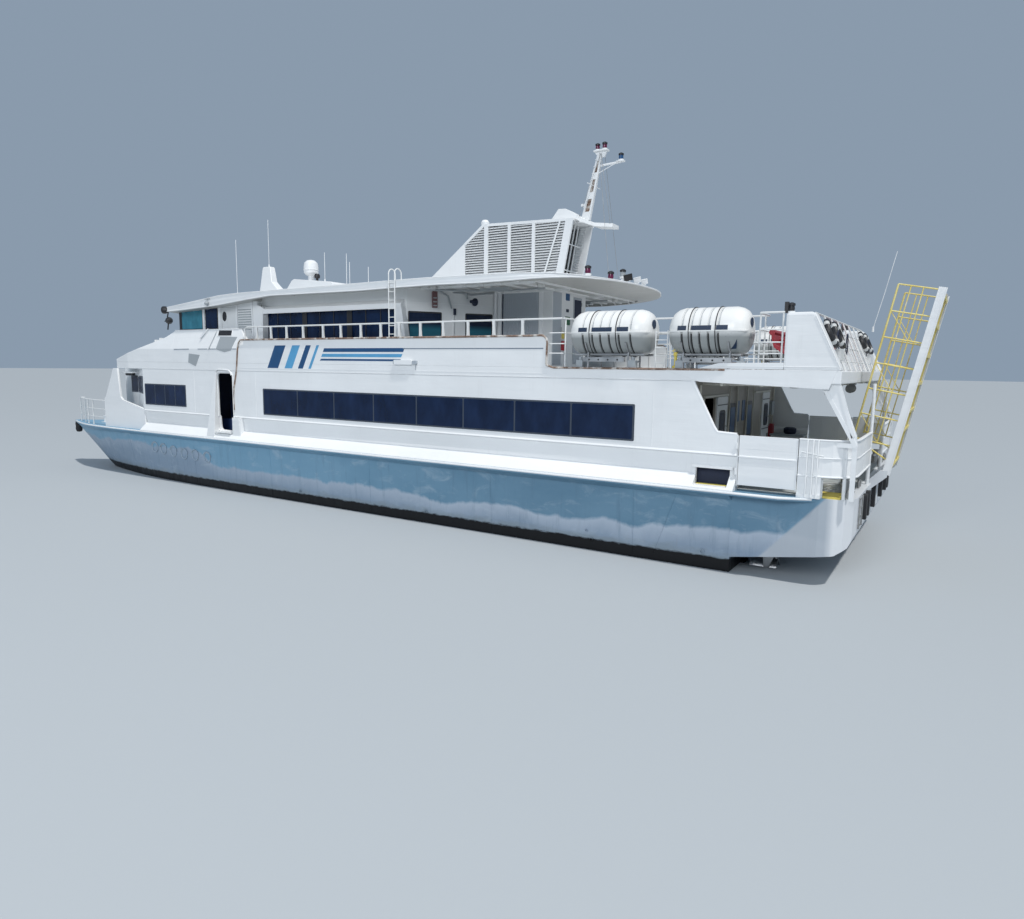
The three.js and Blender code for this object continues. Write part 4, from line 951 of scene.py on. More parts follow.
# Louvred air casing: side view corners are (station, height)
casing = Shape()
CASING_Y = 0.66
CASING_FOOT_Z = 7.252
FRONT_FOOT, FRONT_TOP, LOUVRE_FRONT = (15.38, CASING_FOOT_Z), (12.31, 9.52), 13.05
front_z = along([FRONT_TOP, FRONT_FOOT], LOUVRE_FRONT)
casing.prism([(LOUVRE_FRONT, CASING_FOOT_Z), FRONT_FOOT, (LOUVRE_FRONT, front_z)], "y", CASING_Y, CASING_Y + 0.04)
casing.prism([(LOUVRE_FRONT, front_z), FRONT_TOP, (8.89, 9.40), (8.86, 9.32), (12.28, 9.43),
              (LOUVRE_FRONT - 0.02, front_z - 0.09)], "y", CASING_Y, CASING_Y + 0.045)
casing.prism([(9.31, CASING_FOOT_Z), (9.58, CASING_FOOT_Z), (9.36, 8.3), (9.16, 9.34), (8.89, 9.40)],
             "y", CASING_Y - 0.02, CASING_Y + 0.055)
casing.box((9.31, CASING_Y, CASING_FOOT_Z), (LOUVRE_FRONT + 0.02, CASING_Y + 0.04, 7.35))
for s, wide in ((12.17, 0.075), (11.25, 0.055), (10.32, 0.055)):
    casing.box((s - wide, CASING_Y + 0.005, 7.3), (s + wide, CASING_Y + 0.065, 9.40 + 0.03 * (s - 9)))
casing.tube([(10.05, CASING_Y + 0.05, 7.3), (9.36, CASING_Y + 0.05, 9.33)], 0.032, 8)
# Slats tilt down outwards
for z in spread(7.41, 9.36, 25):
    fore = min(LOUVRE_FRONT, along([FRONT_FOOT[::-1], FRONT_TOP[::-1]], z) - 0.10)
    aft = 9.52 - (z - 7.25) * 0.20
    start = len(casing.verts)
    casing.box((aft, 0.606, z - 0.009), (fore, 0.700, z + 0.009))
    casing.turned((0, CASING_Y, z), tilt(-34, "X"), start)
both_sides("casing_sides", casing, [WHITE], "white_paint")
shell = Shape()
shell.prism([(15.38, 7.255), (12.33, 9.53), (8.89, 9.415), (8.87, 9.365), (12.28, 9.475), (15.26, 7.255)], "y", -0.664,
            0.664)
# Head piece that carries the mast, with a thin plate out over the tail
shell.rows([[(s, -w, low), (s, w, low), (s, w * 0.92, high), (s, -w * 0.92, high)] for s, w, low, high in
            [(9.94, 0.33, 9.38, 9.46), (9.65, 0.33, 9.38, 9.81), (9.40, 0.33, 9.36, 9.795), (9.10, 0.32, 9.34, 9.64),
             (8.76, 0.31, 9.31, 9.43), (8.38, 0.28, 9.165, 9.28), (7.77, 0.25, 9.09, 9.205)]])
for y in (0.55, -0.55):
    shell.lathe([(0.0, 9.44), (0.11, 9.46), (0.14, 9.54), (0.14, 9.60), (0.09, 9.67), (0.0, 9.69)], (12.32, y, 0), "z",
                20)
for y in (-0.36, -0.12, 0.12, 0.36):
    shell.tube([(9.62, y, 7.28), (9.25, y, 9.36)], 0.030, 8)
for z in (7.9, 8.7):
    shell.tube([(9.52 - (z - 7.28) * 0.178, -0.62, z), (9.52 - (z - 7.28) * 0.178, 0.62, z)], 0.020, 8)
shell.look = 1
shell.box((12.80, -0.6, 7.26), (12.86, 0.6, 9.05))
for y in (-0.56, 0.56):
    shell.prism([(9.75, 7.27), (12.8, 7.27), (12.8, 9.0), (12.2, 9.38), (9.3, 9.3)], "y", y - 0.012, y + 0.012)
shell.look = 2
for y in (-0.30, 0.30):
    shell.lathe([(0.0, 7.26), (0.19, 7.26), (0.19, 8.5), (0.16, 8.52), (0.16, 7.4), (0.0, 7.4)], (10.7, y, 0), "z", 20)
shell.piece("casing_head", [WHITE, CASING_GREY, STEEL], "white_paint", replaces=["casing"], bevel=0.008)


# Mast: box leg with long lightening holes, platform, arm, lamps and stays
MAST_FOOT, MAST_TOP = 9.45, 11.46


def mast_box(z):
    """Aft and fore face of the leg at a height, and its half width."""
    t = (z - MAST_FOOT) / (MAST_TOP - MAST_FOOT)
    return 8.655 - 0.385 * t, 8.955 - 0.525 * t, 0.058 - 0.018 * t


def mast_bar(low, high, place):
    """Bar of the leg. Place turns the leg's faces and half width into the bar's."""
    rows = []
    for z in (low, high):
        aft, fore, half = place(*mast_box(z))
        rows.append([(aft, -half, z), (fore, -half, z), (fore, half, z), (aft, half, z)])
    mast.rows(rows)


mast = Shape()
levels = [9.42, 9.68, 10.06, 10.26, 10.64, 10.84, 11.18, MAST_TOP]
for low, high in zip(levels[::2], levels[1::2]):
    mast_bar(low, high, lambda aft, fore, half: (aft, fore, half))
# Between them stand an aft bar, a fore bar and a thin rusty web
for low, high in zip(levels[1:-1:2], levels[2::2]):
    mast_bar(low, high, lambda aft, fore, half: (aft, aft + 0.06, half))
    mast_bar(low, high, lambda aft, fore, half: (fore - 0.06, fore, half))
    mast.look = 1
    mast_bar(low, high, lambda aft, fore, half: (aft + 0.05, fore - 0.05, 0.008))
    mast.look = 0
mast.prism(rounded(8.10, 8.57, -0.12, 0.12, 0.04), "z", 11.455, 11.49)
mast.prism([(8.20, 11.28), (8.42, 11.28), (8.55, 11.46), (8.12, 11.46)], "y", -0.03, 0.03)
mast.tube([(8.38, 0, 11.03), (7.66, 0, 11.06)], 0.034, 10)
mast.prism(rounded(7.54, 7.80, -0.09, 0.09, 0.03), "z", 11.06, 11.088)
mast.tube([(8.45, 0, 10.80), (7.85, 0, 11.04)], 0.015, 8)
mast.box((8.82, -0.07, 9.86), (8.96, 0.07, 9.93))
mast.tube([(8.56, -0.45, 10.45), (8.56, 0.45, 10.45)], 0.014, 8)
for z in spread(9.8, 11.2, 8):
    mast.tube([(mast_box(z)[1] - 0.03, -0.13, z), (mast_box(z)[1] - 0.03, 0.13, z)], 0.009, 6)


def lamp(shape, station, y, z, scale, lens):
    """Navigation lamp: base, coloured lens and a cap."""
    for look, profile in [(0, [(0.0, 0.0), (0.09, 0.0), (0.09, 0.04), (0.0, 0.04)]),
                          (lens, [(0.0, 0.04), (0.065, 0.04), (0.075, 0.10), (0.065, 0.17), (0.0, 0.17)]),
                          (3, [(0.0, 0.17), (0.085, 0.17), (0.085, 0.22), (0.03, 0.25), (0.0, 0.25)])]:
        shape.look = look
        shape.lathe([(radius * scale, z + height * scale) for radius, height in profile], (station, y, 0), "z", 16)


lamp(mast, 8.22, 0.0, 11.49, 0.95, 2)
lamp(mast, 8.46, 0.0, 11.49, 0.90, 2)
lamp(mast, 7.66, 0.0, 11.088, 0.95, 4)
mast.look = 5
for foot in [(7.85, 0.24, 9.20), (8.9, 0.30, 9.50), (7.5, 0.9, 7.22), (8.1, -1.2, 7.3)]:
    mast.tube([(8.32, foot[1] * 0.2, 11.4), foot], 0.006, 5)
mast.piece("signal_mast", [WHITE, RUSTY, LAMP_RED, BLACK, NAVY, STEEL], "white_paint", replaces=["mast"])

# Lanterns, floodlights and small gear on the roof tail
gear = Shape()
for s, y, z, scale, lens, stem in [(8.19, 1.0, 7.34, 1.2, 1, 0.24), (7.47, 0.9, 7.33, 1.15, 1, 0.06),
                                   (7.21, 0.6, 7.32, 1.1, 2, 0.16)]:
    post = z + stem
    gear.look = 0
    gear.disc(0.05, z - 0.03, post, (s, y, 0), "z", 12)
    lamp(gear, s, y, post, scale, lens)
for s, y, z, look, size in [(7.0, 0.72, 7.28, 3, 0.13), (6.98, 0.05, 7.28, 0, 0.11), (6.95, -0.45, 7.28, 0, 0.10)]:
    gear.look = 0
    gear.tube([(s, y, z - 0.03), (s, y, z + 0.12)], 0.016, 8)
    gear.tube([(s - size * 0.7, y, z + 0.10), (s + size * 0.7, y, z + 0.10)], 0.012, 8)
    gear.look = look
    start = len(gear.verts)
    # The lamp's box flares, then steps in to its glass. Columns: half width, distance forward
    sections = [(size * 0.6, -0.10), (size, 0.02), (size, 0.06), (size * 0.86, 0.06), (size * 0.84, 0.04)]
    gear.rows([[(s + a * g, y + 0.02 + d, z + 0.21 + b * g * 0.75) for a, b in ((-1, -1), (1, -1), (1, 1), (-1, 1))]
               for g, d in sections])
    gear.turned((s, y, z + 0.21), tilt(-25, "X") @ tilt(35, "Z"), start)
gear.look = 0
gear.tube([(7.6, 1.9, 7.33), (7.3, 1.6, 7.35), (7.05, 1.2, 7.33), (6.9, 0.4, 7.31)], 0.014, 8)
gear.piece("tail_lights", [WHITE, LAMP_RED, GREY_PAINT, BLACK], "white_paint")

# Radar housing, scanner dome, raked pylon, whips and wheelhouse roof gear
radar = Shape()
radar.prism([(19.66, 7.22), (22.72, 7.22), (22.66, 7.50), (22.02, 8.18), (21.88, 8.24), (19.74, 8.03), (19.64, 7.96)],
            "y", -0.55, 0.55)
radar.lathe([(0.0, 8.1), (0.14, 8.1), (0.12, 8.40), (0.20, 8.42), (0.29, 8.52), (0.30, 8.76), (0.27, 8.92),
             (0.16, 9.02), (0.0, 9.055)], (21.45, 0, 0), "z", 32)
radar.lathe([(0.304, 8.62), (0.312, 8.64), (0.304, 8.66)], (21.45, 0, 0), "z", 32)
radar.box((19.64, -0.40, 7.45), (19.70, 0.40, 7.80))
radar.look = 1
radar.lathe([(0.0, 8.12), (0.05, 8.12), (0.05, 8.26), (0.11, 8.28), (0.12, 8.38), (0.08, 8.45), (0.0, 8.46)],
            (20.99, 0.1, 0), "z", 16)
radar.lathe([(0.0, 8.12), (0.07, 8.12), (0.07, 8.22), (0.0, 8.24)], (21.95, 0.2, 0), "z", 14)
radar.piece("radar_mount", [WHITE, BLACK], "white_paint", replaces=["radar_housing"], bevel=0.02)
pylon = Shape()
pylon.rows([[(a, -w, z), (b, -w, z), (b, w, z), (a, w, z)] for z, a, b, w in
            [(6.95, 22.60, 24.62, 0.22), (7.50, 22.95, 24.56, 0.20), (7.95, 23.36, 24.50, 0.18),
             (8.12, 23.56, 24.47, 0.17),
             (8.28, 23.74, 24.44, 0.16), (8.86, 23.84, 24.34, 0.13), (8.92, 23.88, 24.30, 0.12)]])
pylon.piece("roof_pylon", [WHITE], "white_paint", bevel=0.02)
whips = Shape()
for s, y, foot, tip, lean in [(25.06, 0.9, 6.86, 10.0, 0.0), (24.06, 0.0, 8.87, 10.9, 0.0),
                              (20.86, -0.2, 8.1, 9.33, 0.0),
                              (18.4, 1.0, 7.3, 8.95, 0.0), (18.24, 1.0, 7.3, 8.63, 0.0), (16.8, 1.5, 7.3, 8.3, 0.0),
                              (0.75, -3.95, 6.0, 8.4, -0.5)]:
    whips.lathe([(0.0, foot), (0.035, foot), (0.028, foot + 0.16), (0.0, foot + 0.16)], (s, y, 0), "z", 12)
    whips.tube([(s, y, foot + 0.1), (s + lean * 0.5, y, (foot + tip) / 2), (s + lean, y, tip)], 0.011, 6)
whips.piece("antenna_whips", [WHITE], "white_paint")

# Search lights and horns off the front corners of the wheelhouse roof
corner_gear = Shape()
for s, z, size, turned_by in [(25.58, 6.86, 0.15, 20), (25.40, 6.44, 0.14, -30)]:
    start = len(corner_gear.verts)
    corner_gear.lathe([(0.0, -0.14), (size * 0.6, -0.11), (size, 0.02), (size, 0.12), (size * 0.9, 0.12),
                       (size * 0.86, 0.05), (0.0, 0.03)], (s, 3.9, z), "x", 18)
    corner_gear.turned((s, 3.9, z), tilt(turned_by, "Z"), start)
corner_gear.tube([(25.0, 3.76, 6.78), (25.44, 3.88, 6.84), (25.50, 3.90, 6.60), (25.47, 3.90, 6.30),
                  (25.52, 3.90, 6.08)], 0.026, 8)
corner_gear.tube([(25.2, 3.90, 6.40), (25.50, 3.90, 6.48), (25.56, 4.0, 6.40)], 0.020, 8)
both_sides("searchlights", corner_gear, [BLACK], None)
camera_gear = Shape()
camera_gear.tube([(22.1, 4.36, 7.08), (22.1, 4.46, 7.12), (22.1, 4.48, 7.0)], 0.014, 8)
camera_gear.tube([(22.1, 4.30, 7.12), (21.95, 4.44, 7.12), (22.25, 4.44, 7.12)], 0.012, 6)
camera_gear.lathe([(0.0, 6.88), (0.06, 6.90), (0.08, 6.95), (0.06, 7.00), (0.0, 7.02)], (22.1, 4.47, 0), "z", 14)
both_sides("roof_edge_lamps", camera_gear, [GREY_PAINT], None)


def on_wall(start, end, u, out, z):
    """Point at a distance along a wall line, off its face, at a height."""
    a, b = Vector((*start, 0)), Vector((*end, 0))
    way = (b - a).normalized()
    return a + way * u + Vector((-way.y, way.x, 0)) * out + Vector((0, 0, z))


def pane(shape, start, end, u0, u1, low, high, out, radius=0.04):
    """Flat pane left of the wall line from start to end, between two distances along it."""
    outline = rounded(u0, u1, low, high, radius)
    shape.rows([[on_wall(start, end, u, d, z) for u, z in outline] for d in (out - 0.016, out)])


def wall_block(shape, outline, heights):
    """Block against the slanted wall. Its outline is (distance along the wall, distance off it)."""
    shape.rows([[on_wall(*SLANT, u, out, z) for u, out in outline] for z in heights])


# Glazing of the upper house: a dark band along the lounge, and two panes in the slanted wall
TRUNK_Y = 1.15
SLANT = ((11.38, TRUNK_Y), (13.08, LOUNGE_Y))
BAND_LOW, BAND_HIGH = 5.46, 6.6
HOUSE_FOOT, HOUSE_HEAD = 4.79, 7.19
upper_glass = Shape()
for aft, fore in [(13.55, 15.50), (15.65, 17.65), (17.80, 19.80)]:
    upper_glass.look = 0
    upper_glass.box((aft, 3.665, 5.50), (fore, 3.680, 6.58))
    upper_glass.look = 1
    for s in (aft + (fore - aft) / 3, aft + (fore - aft) * 2 / 3):
        upper_glass.box((s - 0.018, 3.670, 5.5), (s + 0.018, 3.694, 6.58))
upper_glass.look = 1
for a, b, c, d in [(13.47, 19.87, 5.45, 5.52), (13.47, 19.87, 6.56, 6.61), (13.47, 13.57, BAND_LOW, BAND_HIGH),
                   (15.46, 15.69, BAND_LOW, BAND_HIGH), (17.61, 17.84, BAND_LOW, BAND_HIGH),
                   (19.78, 19.87, BAND_LOW, BAND_HIGH)]:
    upper_glass.box((a, 3.690, c), (b, 3.706, d))
for u0, u1 in ((1.961, 3.004), (0.215, 1.103)):
    upper_glass.look = 1
    pane(upper_glass, *SLANT, u0 - 0.03, u1 + 0.03, 5.26, 6.47, 0.008)
    upper_glass.look = 2
    pane(upper_glass, *SLANT, u0 + 0.01, u1 - 0.01, 5.31, 6.42, 0.013, 0.03)
both_sides("lounge_windows", upper_glass, [GLASS, BLACK, LOUNGE_GLASS], "window_glass", bevel=0.002)

# Lounge outside: flared frame and hood of the window band, slanted wall and trunk with its shutter and signs
house = Shape()
house.prism([(12.84, 4.80), (13.46, 4.80), (13.40, 6.60), (13.18, 6.68), (13.13, 6.60)], "y", LOUNGE_Y, 3.92)
house.rows([[(s, y, z) for y, z in ((3.69, 6.56), (3.93 + lift, 6.54), (3.93 + lift, 6.70), (3.69, 6.84))]
            for s, lift in ((13.16, -0.03), (13.24, 0.0), (19.86, 0.0))])
# Painted shade: a band of the darker white on the wall between the hood and the roof edge
house.look = 1
house.box((13.2, 3.69, 6.86), (19.8, 3.712, 7.18))
house.look = 0
house.prism([(LOUNGE_Y, 5.36), (3.74, 5.36), (3.74, 5.43), (LOUNGE_Y, 5.46)], "x", 13.45, 19.86)
house.prism([(19.68, 4.80), (20.06, 4.80), (19.98, 6.88), (19.62, 6.76)], "y", LOUNGE_Y, 3.94)
# Posts and creases of the slanted wall
house.tube([on_wall(*SLANT, 0.11, 0.07, HOUSE_FOOT), on_wall(*SLANT, 0.11, 0.07, HOUSE_HEAD)], 0.048, 12)
house.tube([on_wall(*SLANT, 1.55, 0.03, HOUSE_FOOT), on_wall(*SLANT, 1.55, 0.03, 6.6)], 0.022, 8)
for z in (5.05, 6.74):
    house.tube([on_wall(*SLANT, 0.02, 0.004, z), on_wall(*SLANT, 3.04, 0.004, z)], 0.009, 6)
house.box((11.22, 1.148, HOUSE_FOOT), (11.385, 1.20, HOUSE_HEAD))
house.box((9.66, 1.148, HOUSE_FOOT), (9.80, 1.175, HOUSE_HEAD))
house.look = 2
house.prism(rounded(9.82, 11.14, 4.86, 7.17, 0.03), "y", TRUNK_Y, 1.172)
for s in spread(9.90, 11.06, 16):
    house.tube([(s, 1.174, 4.92), (s, 1.174, 7.12)], 0.011, 6)
# Painted shade: a dark strip in the gap beside the post on the trunk's side
house.look = 7
house.prism([(11.155, HOUSE_FOOT), (11.205, HOUSE_FOOT), (11.205, HOUSE_HEAD), (11.155, HOUSE_HEAD)], "y", TRUNK_Y,
            1.156)
house.look = 8
wall_block(house, ((2.10, 0.0), (2.26, 0.0), (2.26, 0.10), (2.10, 0.10)), (6.60, 7.10))
house.look = 3
for z in (6.66, 6.78, 6.90):
    wall_block(house, ((2.12, 0.09), (2.24, 0.09), (2.24, 0.108), (2.12, 0.108)), (z - 0.02, z + 0.02))
house.look = 7
wall_block(house, ((1.47, 0.0), (1.56, 0.0), (1.56, 0.07), (1.47, 0.07)), (6.40, 6.60))
house.lathe([(0.0, -0.13), (0.13, -0.11), (0.05, 0.02), (0.05, 0.12), (0.0, 0.13)], on_wall(*SLANT, 0.97, 0.26, 6.82),
            "y", 16)
# Vent louvres between the lounge and the wheelhouse door
house.look = 3
house.box((20.28, 3.895, 4.95), (21.06, 3.904, 6.74))
house.look = 1
for z in spread(5.70, 6.68, 12):
    start = len(house.verts)
    house.box((20.30, 3.900, z - 0.026), (21.04, 3.930, z + 0.026))
    house.turned((0, 3.909, z), tilt(-24, "X"), start)
for z in spread(5.0, 5.5, 5):
    house.box((20.3, 3.900, z - 0.03), (21.0, 3.915, z + 0.03))
both_sides("house_trims", house,
           [WHITE, WHITE_SHADE, SHUTTER, GREY_PAINT, NAVY, RED, YELLOW_PAD, INSIDE_DARK, BOX_RED, GREEN_SIGN],
           "white_paint", bevel=0.003)

# Aft wall of the trunk: service door, blank notices and a switch box
notices = Shape()
TRUNK_AFT = 9.32
# Columns: y from and to, z from and to, depth, look
for y0, y1, z0, z1, deep, look in [
        (0.57, 1.11, 4.86, 7.14, 0.014, 0), (0.02, 0.28, 6.93, 7.15, 0.012, 1), (0.06, 0.24, 6.56, 6.66, 0.010, 2),
        (-0.04, 0.30, 6.15, 6.42, 0.010, 3), (0.36, 0.52, 5.70, 5.92, 0.03, 5), (0.36, 0.54, 5.32, 5.62, 0.10, 4)]:
    notices.look = look
    notices.prism(rounded(y0, y1, z0, z1, 0.02), "x", TRUNK_AFT - deep, TRUNK_AFT)
notices.look = 6
notices.tube([(TRUNK_AFT - off, 0.62, z) for off, z in ((0.03, 5.9), (0.06, 5.9), (0.06, 6.05), (0.03, 6.05))], 0.010,
             6)
notices.piece("trunk_notices", [SHUTTER, NAVY, INSIDE_DARK, GREEN_SIGN, RED, YELLOW_PAD, STEEL], "white_paint",
              bevel=0.002)
# Panel and tall pane on the leaf of the trunk's door
door_panel = Shape()
door_panel.prism(rounded(-0.846, -0.274, 4.914, 7.066, 0.02), "x", TRUNK_AFT - 0.014, TRUNK_AFT)
door_panel.look = 1
door_panel.prism(rounded(-0.80, -0.32, 5.70, 7.00, 0.02), "x", TRUNK_AFT - 0.020, TRUNK_AFT)
door_panel.piece("house_door_panel", [SHUTTER, INSIDE_DARK], "white_paint", "house_door", bevel=0.002)

# Ladder with hoops over the roof edge, standing on the bulwark
ladder = Shape()
LADDER_Y, HOOP = 4.435, 0.15
for s in (12.93, 13.17):
    ladder.tube([(s, LADDER_Y, 5.61), (s, LADDER_Y, 7.50)] + about(s, LADDER_Y - HOOP, 7.52, HOOP, range(0, 181, 20))
                + [(s, 4.135, 7.25)], 0.018, 8)
for z in spread(5.72, 7.24, 7):
    ladder.tube([(12.93, LADDER_Y, z), (13.17, LADDER_Y, z)], 0.012, 6)
both_sides("roof_ladder", ladder, [RAIL_WHITE], "rail_paint")

# Wheelhouse windows: side panes, corner panes and the faceted front
bridge = Shape()
FRAME_LOW, FRAME_HIGH, PANE_LOW, PANE_HIGH = 6.03, 6.85, 6.08, 6.80
for aft, fore, look in ((22.28, 23.0, 2), (23.2, 24.54, 0)):
    bridge.look = 1
    bridge.prism(rounded(aft - 0.03, fore + 0.03, FRAME_LOW, FRAME_HIGH, 0.05), "y", 3.892, 3.908)
    bridge.look = look
    bridge.prism(rounded(aft + 0.02, fore - 0.02, PANE_LOW, PANE_HIGH, 0.04), "y", 3.895, 3.913)
FRONT_LINE = [(24.7, BRIDGE_Y), (25.1, 2.6), (25.18, 0.9)]
for start, end, (u0, u1) in zip(FRONT_LINE, FRONT_LINE[1:], [(0.22, 1.22), (0.12, 1.62)]):
    bridge.look = 1
    pane(bridge, start, end, u0 - 0.05, u1 + 0.05, FRAME_LOW, FRAME_HIGH, 0.008)
    bridge.look = 0
    pane(bridge, start, end, u0, u1, PANE_LOW, PANE_HIGH, 0.014)
bridge.look = 1
bridge.prism([(24.58, FRAME_LOW), (24.70, FRAME_LOW), (24.70, FRAME_HIGH), (24.58, FRAME_HIGH)], "y", 3.892, 3.910)
bridge.box((25.17, 0.0, FRAME_LOW), (25.188, 0.86, FRAME_HIGH))
bridge.look = 0
bridge.box((25.17, 0.0, PANE_LOW), (25.194, 0.78, PANE_HIGH))
both_sides("wheelhouse_windows", bridge, [TEAL_GLASS, BLACK, GLASS], "window_glass", bevel=0.002)

bridge_trims = Shape()
bridge_trims.tube([(s, y, 6.93) for s, y in ((22.14, 3.93), (23.0, 3.93), (24.7, 3.93), (25.13, 2.6), (25.21, 0.9),
                                             (25.21, 0.0))], 0.025, 8)
bridge_trims.prism([(23.05, 6.0), (23.16, 6.0), (23.16, 7.0), (23.05, 7.0)], "y", BRIDGE_Y, 3.935)
for aft, fore, y in ((20.20, 20.27, 3.93), (21.07, 21.16, 3.93), (22.09, 22.20, 3.925)):
    bridge_trims.box((aft, BRIDGE_Y, 4.8), (fore, y, 6.98))
# Wiper arms on the front panes
for y in (0.45, 1.7, 3.1):
    x = along([(0.0, 25.20), (0.9, 25.20), (2.6, 25.12), (3.9, 24.72)], y) + 0.02
    bridge_trims.tube([(x, y, 6.90), (x + 0.02, y - 0.03, 6.6), (x + 0.02, y - 0.06, 6.1)], 0.008, 6)
# Steps, grab rail and short struts on the sloping front
for z, s in [(5.42, 26.45), (5.22, 27.3), (5.03, 28.1)]:
    bridge_trims.box((s - 0.12, 3.0, z - 0.08), (s + 0.12, 3.5, z + 0.03))
bridge_trims.tube([(28.6, 3.65, 4.86), (28.4, 3.65, 5.12), (26.2, 3.65, 5.62), (25.9, 3.65, 5.50)], 0.016, 8)
for s, z in ((25.62, 5.54), (25.95, 5.47)):
    bridge_trims.box((s - 0.02, 3.72, z), (s + 0.02, 4.22, z + 0.20))
both_sides("wheelhouse_trims", bridge_trims, [WHITE], "white_paint", bevel=0.002)

# Inside the wheelhouse: console, two chairs, overhead panel and a chart table
bridge_inside = Shape()
bridge_inside.rows([[(24.1, -2.2, z), (24.1 + d, -2.2, z), (24.1 + d, 2.2, z), (24.1, 2.2, z)]
                    for z, d in ((4.80, 0.6), (5.65, 0.6), (5.80, 0.75), (5.88, 0.75))])
bridge_inside.look = 1
for y in (-1.5, -0.75, 0.0, 0.75, 1.5):
    bridge_inside.prism([(v + y, z) for v, z in rounded(-0.28, 0.28, 5.86, 6.18, 0.03)], "x", 24.30, 24.34)
bridge_inside.look = 2
for y in (-0.9, 0.9):
    bridge_inside.lathe([(0.0, 4.8), (0.25, 4.8), (0.06, 4.88), (0.05, 5.25), (0.0, 5.25)], (23.2, y, 0), "z", 16)
    bridge_inside.prism(rounded(22.95, 23.45, 5.25, 5.38, 0.05), "y", y - 0.27, y + 0.27)
    bridge_inside.prism(rounded(22.88, 23.0, 5.32, 6.15, 0.05), "y", y - 0.25, y + 0.25)
bridge_inside.look = 0
bridge_inside.box((22.3, -2.0, 6.72), (24.4, 2.0, 6.86))
bridge_inside.box((20.05, -3.2, 4.8), (20.95, -1.2, 5.7))
bridge_inside.piece("wheelhouse_console", [GREY_PAINT, BLACK, SEAT_BLUE], None, bevel=0.01)

# Small panes and handles on the wheelhouse doors
for side, way in SIDES.items():
    port_light = Shape()
    leaf_low, leaf_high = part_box(f"bridge_door_{side}")
    face = max(abs(leaf_low[1]), abs(leaf_high[1]))
    port_light.lathe([(0.0, -0.006), (0.12, -0.006), (0.12, 0.010), (0.095, 0.014), (0.09, 0.004), (0.0, 0.004)],
                     (21.88, way * face, 6.50), "y", 20)
    # The light is taller than it is wide
    port_light.verts = [(x, y, 6.48 + (z - 6.48) * 1.5) for x, y, z in port_light.verts]
    port_light.piece(f"bridge_door_light_{side}", [BLACK], "window_glass", f"bridge_door_{side}")
    fixings = Shape()
    fixings.tube([(21.33, way * 3.84, 5.85), (21.33, way * 3.885, 5.85), (21.33, way * 3.885, 6.0),
                  (21.33, way * 3.84, 6.0)], 0.011, 8)
    for z in (5.2, 6.0, 6.65):
        fixings.box((21.98, way * 3.825 - 0.012, z - 0.05), (22.032, way * 3.825 + 0.012, z + 0.05))
    fixings.piece(f"bridge_door_handle_{side}", [STEEL], None, f"bridge_door_{side}")


# Life raft canisters: two ribbed shells, flange, straps, cradle. Columns: aft, fore
RAFTS = [(2.42, 4.31), (4.77, 6.96)]
RAFT_Y, RAFT_Z, RAFT_R = 4.05, 5.66, 0.572
RIM_R, GROOVE_R, STRAP_R, SADDLE_R, LABEL_R = RAFT_R + 0.016, RAFT_R - 0.022, RAFT_R + 0.010, RAFT_R + 0.030, 0.578
# Power that squares off the outline of the flange: 1 gives an ellipse, 0 a rectangle
SQUARE = 0.35
CRADLE_IN, CRADLE_OUT = RAFT_Y - 0.40, RAFT_Y + 0.36
# Shares of the length, from the fore end: ribs, and label patches on the flange
RAFT_RIBS = [0.10, 0.21, 0.33, 0.43, 0.54, 0.66, 0.80]
RAFT_LABELS = [(0.16, 0.27), (0.33, 0.58), (0.64, 0.78)]


def raft_profile(half):
    """Radius and place of the shell: domed ends, and raised bands between narrow grooves."""
    points = [(0.0, -half), (0.22, -half), (0.36, -half + 0.03), (0.47, -half + 0.10), (0.535, -half + 0.20),
              (RAFT_R, -half + 0.34)]
    end = [(r, -s) for r, s in reversed(points)]
    for share in sorted(1 - r for r in RAFT_RIBS):
        s = -half + 2 * half * share
        if -half + 0.38 < s < half - 0.30:
            points += [(RAFT_R, s - 0.040), (RAFT_R - 0.035, s - 0.026), (RAFT_R - 0.035, s + 0.010),
                       (RAFT_R, s + 0.024)]
    return points + end


def squared(value):
    """Cosine or sine of a rounded rectangle."""
    return math.copysign(abs(value) ** SQUARE, value)


